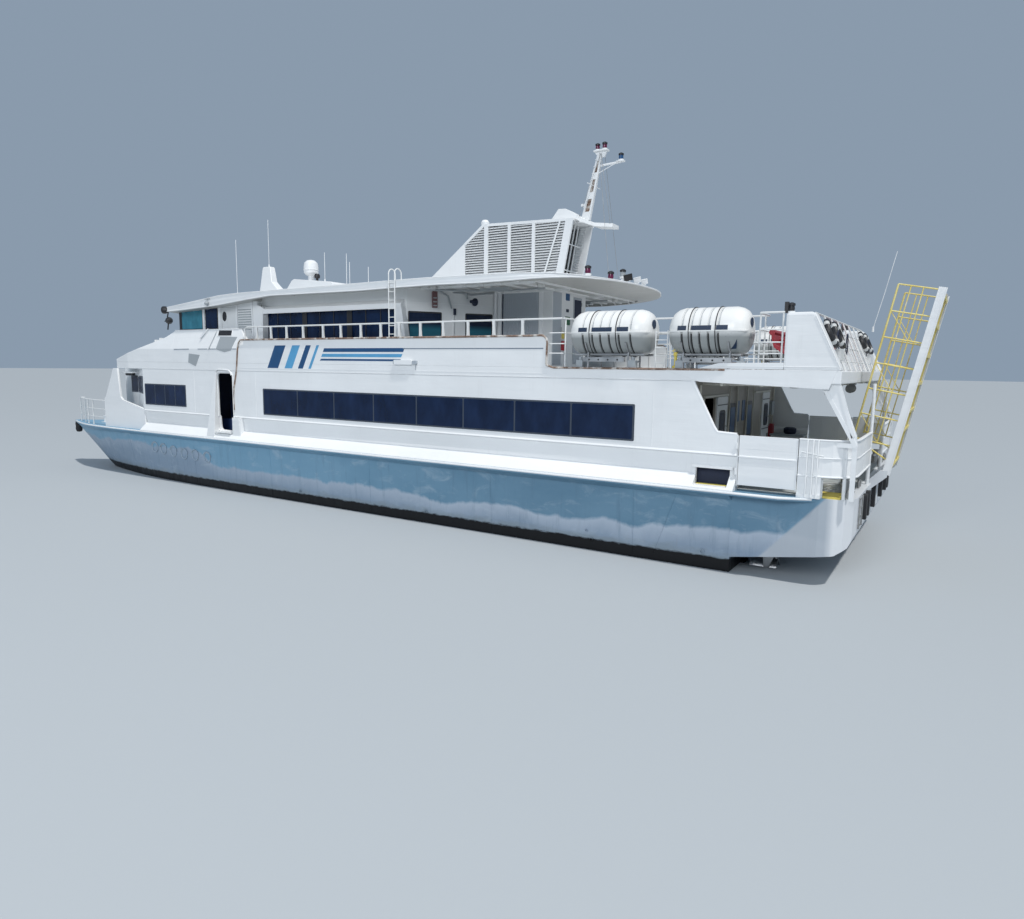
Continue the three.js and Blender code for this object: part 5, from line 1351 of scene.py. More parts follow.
rafts = Shape()
for aft, fore in RAFTS:
    middle, half = (aft + fore) / 2, (fore - aft) / 2
    rafts.look = 0
    rafts.lathe(raft_profile(half), (middle, RAFT_Y, RAFT_Z), "x", 56)
    rim = [(middle + (half - 0.01) * squared(math.cos(t)), RAFT_Y + RIM_R * squared(math.sin(t))) for t in around(72)]
    rafts.prism(rim, "z", RAFT_Z - 0.016, RAFT_Z + 0.016)
    # Blank dark label patches above the flange, and a round one on the aft end
    rafts.look = 1
    for start_share, end_share in RAFT_LABELS:
        a, b = fore - 2 * half * end_share, fore - 2 * half * start_share
        for w in (1, -1):
            rafts.rows([[(x, RAFT_Y + w * LABEL_R * math.cos(math.asin(z / LABEL_R)), RAFT_Z + z) for x in (a, b)]
                        for z in spread(0.018, 0.125, 4)], closed=False)
    rafts.disc(0.11, aft - 0.012, aft + 0.01, (0, RAFT_Y + 0.10, RAFT_Z + 0.20), "x", 16)
    # Dark lines in the grooves, painted shade: black below the flange where the shell is shaded, grey above
    for share in RAFT_RIBS:
        s = fore - 2 * half * share
        if abs(s - middle) < half - 0.34:
            for look, radius, first, last in ((2, 0.013, -170, -6), (5, 0.007, 8, 172)):
                rafts.look = look
                rafts.tube(about(s - 0.008, RAFT_Y, RAFT_Z, GROOVE_R, spread(first, last, 22)), radius, 6)
    # Lashing straps round the shell
    rafts.look = 2
    for share in (0.30, 0.63):
        s = fore - 2 * half * share
        rafts.tube([(s, RAFT_Y + STRAP_R * math.cos(t), RAFT_Z + STRAP_R * math.sin(t)) for t in around(44)], 0.012, 6,
                   closed=True)
    # Cradle: saddles bent to the shell, feet and cross bars
    rafts.look = 3
    for s in (middle - 0.55, middle + 0.55):
        rafts.tube(about(s, RAFT_Y, RAFT_Z, SADDLE_R, range(205, 336, 10)), 0.026, 8)
        for y in (CRADLE_IN, CRADLE_OUT):
            rafts.tube([(s, y, 5.22), (s, y, 4.80)], 0.026, 8)
            rafts.disc(0.06, 4.79, 4.81, (s, y, 0), "z", 12)
        rafts.tube([(s, CRADLE_IN, 4.95), (s, CRADLE_OUT, 4.95)], 0.020, 8)
# Patch low on the aft end of the after canister
rafts.look = 1
aft, fore = RAFTS[0]
start = len(rafts.verts)
rafts.prism(rounded(-0.16, 0.16, -0.17, 0.17, 0.03), "y", 0.0, 0.012)
rafts.verts[start:] = [(aft + 0.30 + x * 0.55, RAFT_Y + 0.44 + y * 0.8 - x * 0.35, RAFT_Z - 0.24 + z)
                       for x, y, z in rafts.verts[start:]]
# White beam with holes along the outside of each cradle, runner behind it, release gear between
for aft, fore in RAFTS:
    rafts.look = 3
    a, b = fore - 1.55, fore - 0.42
    rafts.box((a, RAFT_Y + 0.34, 4.94), (b, RAFT_Y + 0.40, 5.05))
    for y in (RAFT_Y - 0.30, RAFT_Y + 0.30):
        rafts.tube([(aft + 0.15, y, 5.12), (fore - 0.15, y, 5.12)], 0.030, 8)
    rafts.look = 2
    for k in range(4):
        s = a + 0.18 + k * 0.26
        rafts.disc(0.024, RAFT_Y + 0.398, RAFT_Y + 0.404, (s, 0, 4.99), "y", 10)
    rafts.look = 4
    for s in (a - 0.20, b + 0.12):
        rafts.box((s - 0.09, RAFT_Y + 0.22, 4.80), (s + 0.09, RAFT_Y + 0.38, 4.98))
        rafts.disc(0.05, 4.98, 5.06, (s, RAFT_Y + 0.30, 0), "z", 12)
both_sides("raft_canisters", rafts, [RAFT_WHITE, NAVY_PATCH, BLACK, ALUMINIUM, GREY_PAINT, SHUTTER], "raft_shell",
           replaced="rafts", smooth=40)

# Small ladder between the canisters, and a yellow hand pump
between = Shape()
STEPS_AFT, STEPS_FORE, STEPS_Y = 4.36, 4.66, 4.28
for s in (STEPS_AFT, STEPS_FORE):
    between.tube([(s, STEPS_Y, 4.80), (s, STEPS_Y, 5.70)], 0.016, 8)
for z in spread(4.92, 5.66, 5):
    between.tube([(STEPS_AFT, STEPS_Y, z), (STEPS_FORE, STEPS_Y, z)], 0.011, 6)
between.tube([(4.60, 3.48, 4.8), (4.60, 3.48, 5.6), (4.40, 3.48, 5.6), (4.40, 3.48, 4.8)], 0.014, 8)
between.look = 1
between.lathe([(0.0, 4.80), (0.08, 4.80), (0.08, 4.85), (0.035, 4.87), (0.035, 5.08), (0.06, 5.10), (0.05, 5.17),
               (0.0, 5.19)], (4.12, 4.34, 0), "z", 14)
between.tube([(4.12, 4.34, 5.12), (4.2, 4.34, 5.22), (4.05, 4.34, 5.26)], 0.016, 8)
both_sides("raft_access", between, [RAIL_WHITE, YELLOW_PAD], "rail_paint")

# Rails of the upper deck, of round tube. The raft rail steps inboard behind the canisters
RAIL_Y, RAIL_INNER = SIDE_Y - 0.06, 3.38
bay = Shape()
route = [(1.665, RAIL_Y), (2.20, RAIL_Y), (2.20, RAIL_INNER), (7.15, RAIL_INNER), (7.15, RAIL_Y)]


def bent(points, radius):
    """The same route with its inner corners rounded."""
    out = [points[0]]
    for a, b, c in zip(points, points[1:], points[2:]):
        a, b, c = Vector(a), Vector(b), Vector(c)
        p, q = b + (a - b).normalized() * radius, b + (c - b).normalized() * radius
        out += [tuple(p), tuple((p + q) / 4 + b / 2), tuple(q)]
    return out + [points[-1]]


bay.tube([(s, y, RAIL_Z) for s, y in bent(route, 0.08)], 0.024, 10)
for z in (5.15, 5.40, 5.68):
    bay.tube([(s, y, z) for s, y in bent(route + [(7.57, RAIL_Y)], 0.08)], 0.015, 8)
for s, y in [(1.69, RAIL_Y), (2.2, RAIL_Y - 0.1), (2.3, RAIL_INNER), (7.05, RAIL_INNER), (7.15, RAIL_Y - 0.1)] + [
        (3.19 + k * 0.99, RAIL_INNER) for k in range(4)]:
    bay.tube([(s, y, UPPER_Z), (s, y, RAIL_Z)], 0.020, 8)
    bay.box((s - 0.05, y - 0.045, UPPER_Z), (s + 0.05, y + 0.045, UPPER_Z + 0.012))
both_sides("raft_bay_rail", bay, [RAIL_WHITE], "rail_paint", replaced="raft_rail")
rail = Shape()
rail.tube([(7.20, RAIL_Y, RAIL_Z), (19.95, RAIL_Y, RAIL_Z), (20.05, RAIL_Y, RAIL_Z - 0.06), (20.06, RAIL_Y, 5.66)],
          0.026, 10)
for s in (8.41, 9.35, 10.23, 11.12, 11.97, 12.8, 13.55, 14.39, 15.27, 16.08, 17.03, 17.85, 18.65, 19.4):
    rail.rows([[(s - w, RAIL_Y - 0.024, z), (s + w, RAIL_Y - 0.024, z), (s + w, RAIL_Y + 0.024, z),
                (s - w, RAIL_Y + 0.024, z)]
               for w, z in ((0.055, BULWARK_Z), (0.038, 5.70), (0.034, 5.90), (0.045, RAIL_Z))])
both_sides("upper_rail", rail, [RAIL_WHITE], "rail_paint", replaced="side_rail")

# Sloping lattice rail across the stern, with lifebuoys and coiled lines on it
def slope(z):
    """Station of the lattice at a height."""
    return 0.55 + (z - UPPER_Z) * 0.43


def on_ring(centre, angle):
    """Point of a lifebuoy that leans with the lattice."""
    across_ring, up_ring = Vector((0, 1, 0)), Vector((0.395, 0, 0.919))
    return centre + BUOY_R * (math.cos(angle) * across_ring + math.sin(angle) * up_ring)


stern = Shape()
HALF_RAIL, BUOY_R = 4.04, 0.29
COIL_STEPS = 24
for z, radius in ((5.0, 0.016), (5.35, 0.016), (5.70, 0.016), (6.04, 0.024)):
    stern.tube([(slope(z), -HALF_RAIL, z), (slope(z), HALF_RAIL, z)], radius, 8)
for y in spread(-3.99, 3.99, 9):
    stern.tube([(slope(UPPER_Z), y, UPPER_Z), (slope(6.05), y, 6.05)], 0.022, 8)
for y in spread(-3.6, 3.6, 13):
    stern.tube([(slope(UPPER_Z), y, UPPER_Z + 0.02), (slope(5.70), y, 5.70)], 0.010, 6)
stern.look = 1
for y in (3.55, 2.5, -2.5, -3.55):
    centre = Vector((slope(5.62) - 0.09, y, 5.62))
    stern.tube([on_ring(centre, t) for t in around(36)], 0.062, 10, closed=True)
    stern.look = 2
    for quarter in range(4):
        t0 = math.radians(45 + 90 * quarter)
        stern.tube([on_ring(centre, t0 + d) for d in (-0.16, -0.08, 0.0, 0.08, 0.16)], 0.0645, 10)
    stern.look = 1
stern.look = 3
for y, turns in ((2.95, 5), (-3.0, 4), (1.4, 5)):
    coil = [Vector((slope(5.4) - 0.05 + 0.004 * math.sin(k),
                    y + (0.13 + 0.004 * (k % 7)) * math.cos(2 * math.pi * k / COIL_STEPS),
                    5.42 + (0.26 + 0.005 * (k % 5)) * math.sin(2 * math.pi * k / COIL_STEPS)))
            for k in range(COIL_STEPS * turns + 1)]
    stern.tube(coil, 0.011, 6)
stern.look = 0
for y in (3.05, -3.05):
    stern.box((slope(5.2) - 0.10, y - 0.28, 5.02), (slope(5.2) + 0.02, y + 0.28, 5.28))
stern.piece("stern_lattice", [RAIL_WHITE, BLACK, CURTAIN, INSIDE_DARK], "rail_paint", replaces=["stern_rail"])

# Lamps on the gables, ensign staff socket
crown = Shape()
for way in SIDES.values():
    y = way * 4.25
    lamp(crown, 1.56, y, 6.04, 0.9, 1)
    crown.look = 1
    crown.box((1.62, y - 0.05, 6.04), (1.70, y + 0.05, 6.28))
crown.piece("gable_lamps", [WHITE, BLACK, BLACK, BLACK], None)

# Bow rails with a rounded front
bow = Shape()
route = [(29.64, 4.33), (30.3, 4.29), (31.0, 4.22), (31.7, 4.09), (32.3, 3.90), (32.8, 3.74), (33.2, 3.64)]
for z, radius in ((2.35, 0.015), (2.70, 0.015), (3.08, 0.024)):
    turn_in = [(33.34, 3.52), (33.30, 3.40)] if z > 3 else [(33.30, 3.56)]
    bow.tube([(s, y, z) for s, y in route + turn_in], radius, 8)
for s, y in (route[0], route[2], (31.65, 4.10), route[4], route[6]):
    bow.tube([(s, y, DECK_Z), (s, y, 3.09)], 0.022, 8)
    bow.disc(0.05, DECK_Z, DECK_Z + 0.015, (s, y, 0), "z", 12)
bow.tube([(33.30, 3.40, 3.08), (33.30, 3.42, DECK_Z)], 0.022, 8)
both_sides("bow_rails", bow, [RAIL_WHITE], "rail_paint", replaced="bow_rail")

# Bitts, hatch and windlass on the foredeck, and the rail across it
foredeck = Shape()
for s, y in ((31.3, 3.45), (30.0, 2.6)):
    for offset in (-0.16, 0.16):
        foredeck.lathe([(0.0, 2.0), (0.07, 2.0), (0.07, 2.26), (0.09, 2.27), (0.09, 2.30), (0.0, 2.31)],
                       (s + offset, y, 0), "z", 16)
    foredeck.box((s - 0.32, y - 0.12, 2.0), (s + 0.32, y + 0.12, 2.025))
foredeck.prism(rounded(29.6, 30.4, 3.1, 3.9, 0.08), "z", 2.0, 2.12)
foredeck.look = 1
foredeck.prism(rounded(29.66, 30.34, 3.16, 3.84, 0.06), "z", 2.12, 2.15)
foredeck.look = 2
for s in (29.8, 30.2):
    foredeck.tube([(s, 3.2, 2.16), (s, 3.3, 2.2), (s, 3.4, 2.2), (s, 3.5, 2.16)], 0.012, 6)
both_sides("foredeck_fittings", foredeck, [WHITE, GREY_PAINT, STEEL], None, bevel=0.004)
windlass = Shape()
windlass.box((30.0, -0.45, 2.0), (30.7, 0.45, 2.08))
windlass.lathe([(0.0, -0.5), (0.16, -0.5), (0.10, -0.4), (0.10, -0.2), (0.18, -0.16), (0.18, 0.16), (0.10, 0.2),
                (0.10, 0.4), (0.16, 0.5), (0.0, 0.5)], (30.35, 0, 2.32), "y", 24)
windlass.box((30.22, -0.14, 2.05), (30.48, 0.14, 2.35))
RAIL_S, RAIL_HALF, RAIL_HIGH = 31.45, 1.75, 3.08
windlass.tube([(RAIL_S, y, z) for y, z in ((RAIL_HALF, 2.0), (RAIL_HALF, 3.0), (1.70, RAIL_HIGH), (-1.70, RAIL_HIGH),
                                           (-RAIL_HALF, 3.0), (-RAIL_HALF, 2.0))], 0.022, 8)
windlass.tube([(RAIL_S, -RAIL_HALF, 2.55), (RAIL_S, RAIL_HALF, 2.55)], 0.015, 8)
for y in (-0.9, 0.0, 0.9):
    windlass.tube([(RAIL_S, y, 2.0), (RAIL_S, y, RAIL_HIGH)], 0.018, 8)
windlass.piece("windlass", [GREY_PAINT], None, bevel=0.006)

# Rescue boat: rounded hull, side tubes, thwarts, console and outboard engine, on chocks
boat = Shape()
BOAT_S, GUNWALE_Z, BOAT_TOP_Z = 1.72, 5.70, 5.72
# Columns: y, half width, keel height
boat_rows = [(-0.88, 0.16, 5.52), (-0.72, 0.34, 5.36), (-0.45, 0.47, 5.21), (0.0, 0.58, 5.12), (0.6, 0.63, 5.07),
             (1.4, 0.63, 5.06), (2.1, 0.62, 5.07), (2.76, 0.58, 5.10)]
# Section in shares of the half width and of the depth: round the outside, then back along the inside
BOAT_SECTION = [(1, 0), (0.97, 0.3), (0.86, 0.62), (0.5, 0.86), (0, 1.0), (-0.5, 0.86), (-0.86, 0.62), (-0.97, 0.3),
                (-1, 0), (-0.88, 0.04), (-0.82, 0.5), (-0.4, 0.72), (0.4, 0.72), (0.82, 0.5), (0.88, 0.04)]
boat.rows([[(BOAT_S + half * a, y, BOAT_TOP_Z - (BOAT_TOP_Z - keel) * d) for a, d in BOAT_SECTION]
           for y, half, keel in boat_rows])
gunwale = ([(BOAT_S + h * 0.96, y, GUNWALE_Z) for y, h, _ in reversed(boat_rows)]
           + [(BOAT_S - h * 0.96, y, GUNWALE_Z) for y, h, _ in boat_rows])
boat.tube(gunwale, 0.075, 12)
for y in (0.1, 1.0, 1.9):
    boat.box((BOAT_S - 0.52, y - 0.12, 5.52), (BOAT_S + 0.52, y + 0.12, 5.56))
boat.look = 1
boat.box((1.52, 2.50, 5.55), (1.92, 2.68, 6.00))
boat.prism(rounded(1.58, 1.86, 5.84, 6.10, 0.05), "y", 2.40, 2.76)
boat.box((1.68, 2.74, 5.0), (1.76, 2.80, 5.6))
boat.look = 2
for y in (0.1, 1.9):
    boat.prism([(1.34, UPPER_Z), (2.10, UPPER_Z), (2.0, 5.32), (1.72, 5.14), (1.44, 5.32)], "y", y - 0.05, y + 0.05)
boat.piece("rescue_craft", [RED, BLACK, WHITE], "red_paint", replaces=["rescue_boat"], bevel=0.004)


# Aft deck: bulkhead fittings, lockers, ceiling pipes and the port side's deeper gear
deck_gear = Shape()
deck_gear.box((0.20, 0.0, 2.000), (3.64, 4.18, 2.012))
deck_gear.look = 1
for y in (0.5, 1.9, 3.8):
    deck_gear.tube([(0.9, y, 4.43), (3.6, y, 4.43)], 0.03, 8)
for s in (1.2, 2.1, 3.0):
    deck_gear.box((s - 0.03, 0.0, 4.40), (s + 0.03, 4.3, 4.49))
deck_gear.look = 2
for s, y in ((1.6, 1.2), (1.6, 3.2), (2.9, 2.2)):
    deck_gear.lathe([(0.0, 4.36), (0.10, 4.37), (0.12, 4.41), (0.0, 4.42)], (s, y, 0), "z", 16)
both_sides("aft_deck_lining", deck_gear, [DECK_GREY, CREAM, CURTAIN], None)

wall = Shape()
WALL_S = 3.648
# Columns: y from and to, z from and to, look, depth
for y0, y1, z0, z1, look, thick in [
        (0.62, 1.22, 2.75, 3.85, 1, 0.03), (0.70, 1.14, 2.86, 3.74, 2, 0.035), (0.28, 0.52, 2.5, 2.85, 3, 0.12),
        (3.62, 3.92, 3.3, 3.75, 3, 0.10), (3.66, 3.88, 2.5, 3.0, 4, 0.14), (0.15, 0.45, 3.3, 3.9, 2, 0.012)]:
    wall.look = look
    wall.prism(rounded(y0, y1, z0, z1, 0.03), "x", WALL_S - thick, WALL_S)
wall.look = 0
# Door frame behind the leaf's path, with the rail above it and the guide below
for y in (2.44, 3.46):
    wall.box((WALL_S - 0.003, y - 0.03, 2.045), (WALL_S + 0.01, y + 0.03, 4.10))
for z0, z1 in ((4.074, 4.13), (2.012, 2.036)):
    wall.box((WALL_S - 0.055, 1.45, z0), (WALL_S + 0.012, 3.49, z1))
wall.tube([(WALL_S - 0.04, 0.55, 2.02), (WALL_S - 0.04, 0.55, 4.4)], 0.025, 8)
wall.tube([(WALL_S - 0.04, 1.3, 4.3), (WALL_S - 0.04, 1.3, 2.6), (WALL_S - 0.04, 0.3, 2.2)], 0.018, 8)
wall.tube([(WALL_S - 0.05, 3.95, 2.02), (WALL_S - 0.05, 3.95, 4.4)], 0.03, 8)
both_sides("bulkhead_fittings", wall, [CREAM, BLACK, NAVY, GREY_PAINT, RED], "white_paint", bevel=0.003)

locker = Shape()
locker.prism(rounded(2.55, 3.55, 2.01, 2.62, 0.04), "y", 3.62, 4.22)
locker.look = 1
locker.prism(rounded(2.52, 3.58, 2.62, 2.68, 0.02), "y", 3.60, 4.24)
locker.look = 2
locker.lathe([(0.0, 2.68), (0.16, 2.68), (0.20, 2.74), (0.20, 2.86), (0.14, 2.90), (0.0, 2.90)], (3.0, 3.92, 0), "z",
             20)
locker.look = 3
# Coil of rope beside the locker
locker.tube([Vector((0.62 + 0.21 * math.cos(k / 3.8), 3.30 + 0.21 * math.sin(k / 3.8), 2.03 + 0.006 * k / 3.8))
             for k in range(110)], 0.014, 6)
both_sides("aft_lockers", locker, [WHITE_SHADE, GREY_PAINT, INSIDE_DARK, CURTAIN], "white_paint", bevel=0.006)


def bow_handle(shape, face, points, radius=0.011):
    """Bow handle, its points given as (distance off the face, height)."""
    shape.tube([face(off, z) for off, z in points], radius, 8)


# Trims of the bulkhead doors, the side doors and the gates. The port leaves rest open, the starboard ones closed
LEAF_X, SIDE_LEAF_Y, GATE_Y = 3.622, 4.272, 4.4515
for side, way, y in (("port", 1, 2.95 - 0.96), ("starboard", -1, -2.95)):
    leaf = Shape()
    x = LEAF_X
    leaf.prism(rounded(y - 0.27, y + 0.27, 3.00, 3.71, 0.12), "x", x - 0.030, x - 0.014)
    leaf.look = 1
    leaf.prism(rounded(y - 0.215, y + 0.215, 3.055, 3.655, 0.09), "x", x - 0.034, x + 0.014)
    leaf.look = 2
    leaf.box((x - 0.05, y - 0.36, 2.55), (x - 0.018, y - 0.26, 2.72))
    bow_handle(leaf, lambda off, z: (x - off, y - 0.34, z), [(0.02, 2.95), (0.075, 2.97), (0.075, 3.25), (0.02, 3.27)])
    leaf.look = 0
    for z in (2.4, 2.9, 3.85):
        leaf.box((x - 0.028, y - 0.44, z - 0.012), (x - 0.019, y + 0.44, z + 0.012))
    leaf.piece(f"aft_leaf_trims_{side}", [BLACK, GLASS, STEEL], "window_glass", f"aft_door_{side}", bevel=0.002)
    leaf = Shape()
    s = 21.225 - (1.0 if side == "port" else 0.0)
    out = way * SIDE_LEAF_Y
    leaf.look = 1
    leaf.box((s - 0.30, out - 0.012, 3.40), (s + 0.30, out + 0.012, 4.15))
    leaf.look = 2
    bow_handle(leaf, lambda off, z: (s + 0.40, out - way * off, z),
               [(0.02, 3.1), (0.06, 3.12), (0.06, 3.35), (0.02, 3.37)], 0.010)
    leaf.piece(f"side_leaf_trims_{side}", [BLACK, GLASS, STEEL], "window_glass", f"side_door_{side}", bevel=0.002)
    gate = Shape()
    for z in (2.62, 3.0):
        gate.box((1.24, way * GATE_Y - 0.002 * (way < 0), z - 0.004),
                 (2.44, way * GATE_Y + 0.002 * (way > 0), z + 0.004))
    gate.tube([(1.30, way * 4.385, 2.35), (1.30, way * 4.365, 2.4), (1.30, way * 4.365, 2.9),
               (1.30, way * 4.385, 2.95)], 0.012, 8)
    for s in (1.6, 2.1):
        gate.box((s - 0.02, way * 4.388 - 0.006, 2.18), (s + 0.02, way * 4.388 + 0.006, 3.25))
    gate.piece(f"gate_ribs_{side}", [WHITE], "white_paint", f"gate_{side}", bevel=0.002)
# Trims of the two hinged doors. Columns: node, middle height, the way its face looks
for node, z_mid, out in (("house_door", 5.9, -1), ("foredeck_door", 3.1, 1)):
    leaf = Shape()
    low, high = (Vector(v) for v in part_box(node))
    middle = (low.y + high.y) / 2
    face = (low.x if out < 0 else high.x) + HALF_LENGTH
    for look, inset, radius, thick in ((0, 0.0, 0.09, 0.010), (1, 0.045, 0.07, 0.014)):
        leaf.look = look
        half = 0.22 - inset
        leaf.prism(rounded(middle - half, middle + half, z_mid + 0.15 + inset, z_mid + 0.72 - inset, radius), "x",
                   *sorted((face - 0.002 * out, face + thick * out)))
    leaf.look = 2
    leaf.tube([(face, high.y - 0.10, z_mid - 0.1), (face + 0.05 * out, high.y - 0.10, z_mid - 0.1),
               (face + 0.05 * out, high.y - 0.22, z_mid - 0.1)], 0.012, 8)
    for z in (low.z + 0.2, (low.z + high.z) / 2, high.z - 0.2):
        leaf.disc(0.016, z - 0.06, z + 0.06, (face + 0.014 * out, low.y + 0.02, 0), "z", 10)
    leaf.piece(f"{node}_trims", [BLACK, GLASS, STEEL], "window_glass", node, bevel=0.002)

# Quarter: channel flanges on the slanted brace, shell seams, chafing pipes, fairleads and bitts
quarter = Shape()
CORNER_R = 0.655
for y in (4.305, 4.385):
    quarter.prism([(0.03, 3.20), (0.10, 3.16), (0.86, 4.50), (0.78, 4.50)], "y", y - 0.008, y + 0.008)
    quarter.prism([(0.09, 3.40), (0.16, 3.36), (0.50, 4.50), (0.44, 4.50)], "y", y - 0.008, y + 0.008)
quarter.prism([(0.10, 3.30), (0.16, 3.26), (0.80, 4.48), (0.55, 4.48)], "y", 4.342, 4.350)
for z in (2.49, 2.90, 3.29):
    turn = [math.radians(t) for t in range(0, 91, 9)]
    bead = [(1.18, SIDE_Y + 0.006, z)] + [(0.69 - CORNER_R * math.sin(t), 3.80 + CORNER_R * math.cos(t), z)
                                          for t in turn]
    bead.append((0.034, 1.52, z))
    quarter.tube(bead, 0.012 if z == 2.90 else 0.022, 8)
for s, y in ((0.92, SIDE_Y + 0.002), (0.035, 2.9)):
    quarter.tube([(s, y, 2.5), (s, y, 3.28)], 0.006, 5)
for s in (0.78, 0.88, 1.00):
    quarter.tube([(s, SIDE_Y + 0.04, 2.02), (s, SIDE_Y + 0.04, 3.24), (s, SIDE_Y + 0.01, 3.29)], 0.016, 8)
quarter.tube([(0.66, SIDE_Y + 0.04, 2.95), (1.12, SIDE_Y + 0.04, 3.02)], 0.012, 8)
both_sides("quarter_trims", quarter, [WHITE], "white_paint")
bitts = Shape()
for y in (3.15, 3.50):
    bitts.lathe([(0.066, 2.0), (0.066, 2.34), (0.085, 2.35), (0.085, 2.39), (0.0, 2.395)], (0.35, y, 0), "z", 18)
bitts.tube([(0.40, 3.0, 2.26), (0.40, 3.66, 2.26)], 0.03, 8)
bitts.box((0.16, 2.96, 2.0), (0.52, 3.70, 2.02))
for y in (2.3, 4.05):
    for w in (-1, 1):
        bitts.tube([(0.16, y + w * 0.16, 2.02), (0.16, y + w * 0.16, 2.16), (0.16, y + w * 0.05, 2.22)], 0.03, 8)
both_sides("stern_bitts", bitts, [STEEL], None)

# Gable: lamp bracket, seam and the folded lip along the foot
gable = Shape()
gable.rows([[(s, y, z) for s, z in ((0.66, 4.385), (0.52, 4.79), (4.46, 4.79), (3.47, 4.49))] for y in (4.448, 4.466)])
gable.prism([(1.62, 4.80), (3.55, 4.80), (3.05, 4.93), (1.62, 4.95)], "y", 4.40, 4.456)
gable.tube([(0.47, 4.455, 4.84), (1.02, 4.455, 5.97)], 0.010, 6)
gable.tube([(1.622, 4.30, 4.8), (1.622, 4.30, 6.0)], 0.012, 6)
gable.tube([(0.50, 4.456, 4.86), (3.1, 4.456, 4.86)], 0.008, 6)
both_sides("gable_trims", gable, [WHITE], "white_paint", bevel=0.004)

# Boarding ramp: beams with yellow edges, tread deck, truss rails. Built upright at its hinge, then leaned
PIVOT, LEAN, RAMP_LENGTH, RAMP_HALF = Vector((-0.26, 0, 2.26)), 11, 4.6, 1.15
LOW, MIDDLE, HIGH, REACH = 0.70, 0.35, RAMP_LENGTH - 0.06, 0.90
ramp = Shape()
ramp.look = 1
for y in (-RAMP_HALF, RAMP_HALF):
    ramp.box((-0.130, y - 0.045, -0.02), (0.040, y + 0.045, RAMP_LENGTH))
    ramp.box((-0.138, y - 0.052, -0.02), (-0.112, y + 0.052, RAMP_LENGTH))
    ramp.box((0.022, y - 0.052, -0.02), (0.046, y + 0.052, RAMP_LENGTH))
ramp.look = 2
ramp.box((-0.062, -RAMP_HALF + 0.045, 0.06), (-0.022, RAMP_HALF - 0.045, RAMP_LENGTH - 0.10))
for z in spread(0.16, RAMP_LENGTH - 0.2, 26):
    ramp.box((-0.024, -RAMP_HALF + 0.06, z - 0.012), (-0.006, RAMP_HALF - 0.06, z + 0.012))
ramp.look = 0
for z in (0.20, 1.10, 1.60, 2.30, 3.00, 3.75, RAMP_LENGTH - 0.16):
    ramp.box((-0.130, -RAMP_HALF, z - 0.04), (-0.060, RAMP_HALF, z + 0.04))
for y in (-0.4, 0.4):
    ramp.box((-0.120, y - 0.03, 0.1), (-0.062, y + 0.03, RAMP_LENGTH - 0.2))
for y in (-RAMP_HALF, RAMP_HALF):
    for x, radius in ((MIDDLE, 0.016), (0.62, 0.016), (REACH, 0.024)):
        ramp.tube([(x, y, LOW - (0.0 if x < REACH else 0.06)), (x, y, HIGH)], radius, 8)
    stations = spread(LOW, HIGH, 7)
    for z in stations:
        ramp.tube([(0.0, y, z), (REACH, y, z)], 0.019, 8)
    for a, b in zip(stations[::2], stations[1::2]):
        ramp.tube([(MIDDLE, y, a), (REACH, y, b)], 0.011, 6)
    ramp.tube([(REACH, y, LOW), (0.05, y, 0.35)], 0.019, 8)
ramp.look = 3
ramp.tube([(0, -RAMP_HALF - 0.06, 0), (0, RAMP_HALF + 0.06, 0)], 0.060, 18)
for y in (-0.8, 0.8):
    ramp.disc(0.07, -0.03, 0.03, (-0.05, y, RAMP_LENGTH - 0.03), "y", 18)
ramp.verts = [tuple(Vector(v) + PIVOT) for v in ramp.verts]
ramp.turned(PIVOT, tilt(-LEAN, "Y"))
ramp.piece("boarding_ramp", [YELLOW, WHITE, ALUMINIUM, STEEL], "ramp_paint", "ramp", replaces=["ramp"], bevel=0.003)

# Winch posts beside the ramp on the aft deck, and the transom's ladder, plates and pads
transom = Shape()
for y in (-1.52, 1.52):
    transom.tube([(0.06, y, 2.0), (0.06, y, 4.49)], 0.04, 10)
transom.look = 1
transom.lathe([(0.0, -0.16), (0.13, -0.16), (0.13, -0.14), (0.06, -0.13), (0.06, 0.13), (0.13, 0.14), (0.13, 0.16),
               (0.0, 0.16)], (1.0, 1.85, 4.28), "y", 20)
transom.box((0.88, 1.66, 4.38), (1.12, 2.04, 4.5))
for y in (3.15, 3.65):
    transom.tube([(-0.03, y, 1.28), (-0.03, y, 1.98)], 0.018, 8)
for z in spread(1.32, 1.94, 4):
    transom.tube([(-0.03, 3.15, z), (-0.03, 3.65, z)], 0.014, 8)
transom.look = 2
for y in (0.9, 2.2, 2.75):
    transom.prism(rounded(y - 0.12, y + 0.12, 1.35, 1.95, 0.05), "x", -0.09, 0.0)
both_sides("transom_fittings", transom, [WHITE, STEEL, RUBBER], None, bevel=0.003)

# Waterjets: flared nozzle with ribs and steering arm, and a ribbed reversing bucket
NOZZLE_X, JET_Y, JET_Z = 2.15, 3.1, -0.06
nozzle = Shape()
nozzle.lathe([(0.25, 0.20), (0.286, 0.20), (0.288, 0.15), (0.270, 0.13), (0.262, 0.02), (0.236, -0.30), (0.232, -0.42),
              (0.19, -0.42), (0.20, -0.30), (0.236, 0.05), (0.25, 0.20)], (NOZZLE_X, JET_Y, JET_Z), "x", 40)
for x in (-0.10, -0.24):
    nozzle.lathe([(0.24, x - 0.012), (0.268, x - 0.012), (0.268, x + 0.012), (0.24, x + 0.012)],
                 (NOZZLE_X, JET_Y, JET_Z), "x", 40)
for z in (0.262, -0.262):
    nozzle.disc(0.05, z - 0.032, z + 0.032, (NOZZLE_X, JET_Y, JET_Z), "z", 18)
both_sides("jet_nozzle", nozzle, [ALUMINIUM], "jet_metal", body="nozzle", replaced="nozzle", smooth=30)
bucket = Shape()
PIN_X = NOZZLE_X - 0.18


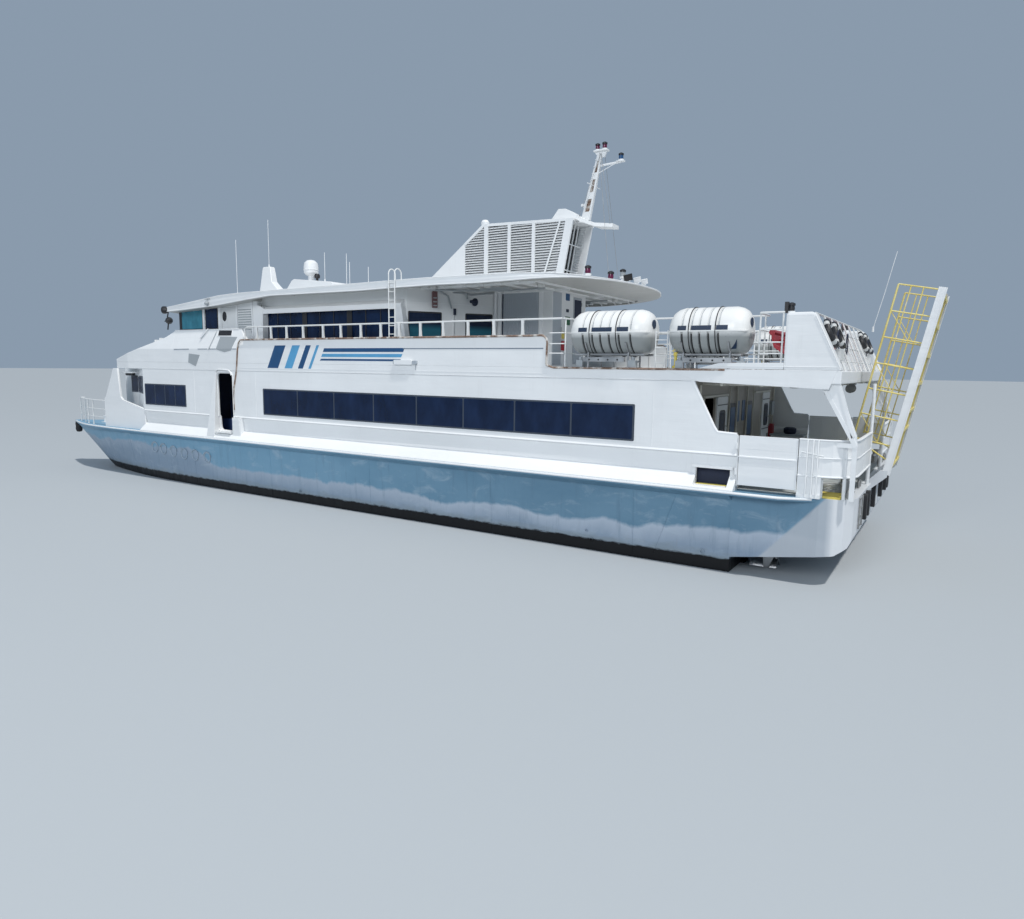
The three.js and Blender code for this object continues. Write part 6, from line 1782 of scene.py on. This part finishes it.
def bucket_arc(radius, start, end, steps):
    """Arc round the bucket's pin, angles in degrees from aft, upwards."""
    return [(PIN_X - radius * math.cos(math.radians(t)), JET_Z + radius * math.sin(math.radians(t)))
            for t in spread(start, end, steps)]


bucket.prism(bucket_arc(0.428, 50, 100, 16) + bucket_arc(0.402, 100, 50, 16), "y", JET_Y - 0.30, JET_Y + 0.30)
for y in (-0.295, -0.1, 0.1, 0.295):
    bucket.prism(bucket_arc(0.431, 52, 98, 12) + bucket_arc(0.41, 98, 52, 12), "y", JET_Y + y - 0.008,
                 JET_Y + y + 0.008)
for y in (0.292, -0.314):
    bucket.prism([(PIN_X - 0.03, JET_Z - 0.035), (PIN_X + 0.03, JET_Z - 0.035), (PIN_X + 0.068, JET_Z + 0.40),
                  (PIN_X - 0.19, JET_Z + 0.35)], "y", JET_Y + y, JET_Y + y + 0.022)
both_sides("jet_bucket", bucket, [ALUMINIUM], "jet_metal", body="bucket", replaced="bucket", bevel=0.002)


# Plain floor at the waterline, soft studio light
bpy.ops.mesh.primitive_plane_add(size=900, location=(0, 0, 0))
floor = bpy.context.object
floor.name = "floor"
floor_paint = Nodes("floor_paint")
floor.data.materials.append(floor_paint.finish((0.42, 0.45, 0.47), 0.7))
floor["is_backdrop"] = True


def light(name, kind, way, energy, color):
    """Light that shines along a direction."""
    data = bpy.data.lights.new(name, kind)
    data.energy, data.color = energy, color
    item = placed(name, data)
    item.rotation_euler = way.to_track_quat("-Z", "Y").to_euler()
    return item


sun = light("key", "SUN", Vector((0.45, -0.15, -1.0)), 2.5, (1.0, 0.975, 0.94))
sun.data.angle = math.radians(2.5)
FILL_PLACE, FILL_TARGET = Vector((-16, 62, 30)), Vector((0, 0, 4))
fill = light("fill", "AREA", FILL_TARGET - FILL_PLACE, 15500, (0.95, 0.97, 1.0))
fill.location = FILL_PLACE
fill.data.shape, fill.data.size = "DISK", 24
world = bpy.context.scene.world or bpy.data.worlds.new("studio")
bpy.context.scene.world = world
world.use_nodes = True
sky = world.node_tree.nodes["Background"].inputs
sky["Color"].default_value, sky["Strength"].default_value = (0.58, 0.74, 0.94, 1), 0.44
bpy.context.scene.view_settings.view_transform = "Standard"

low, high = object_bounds()
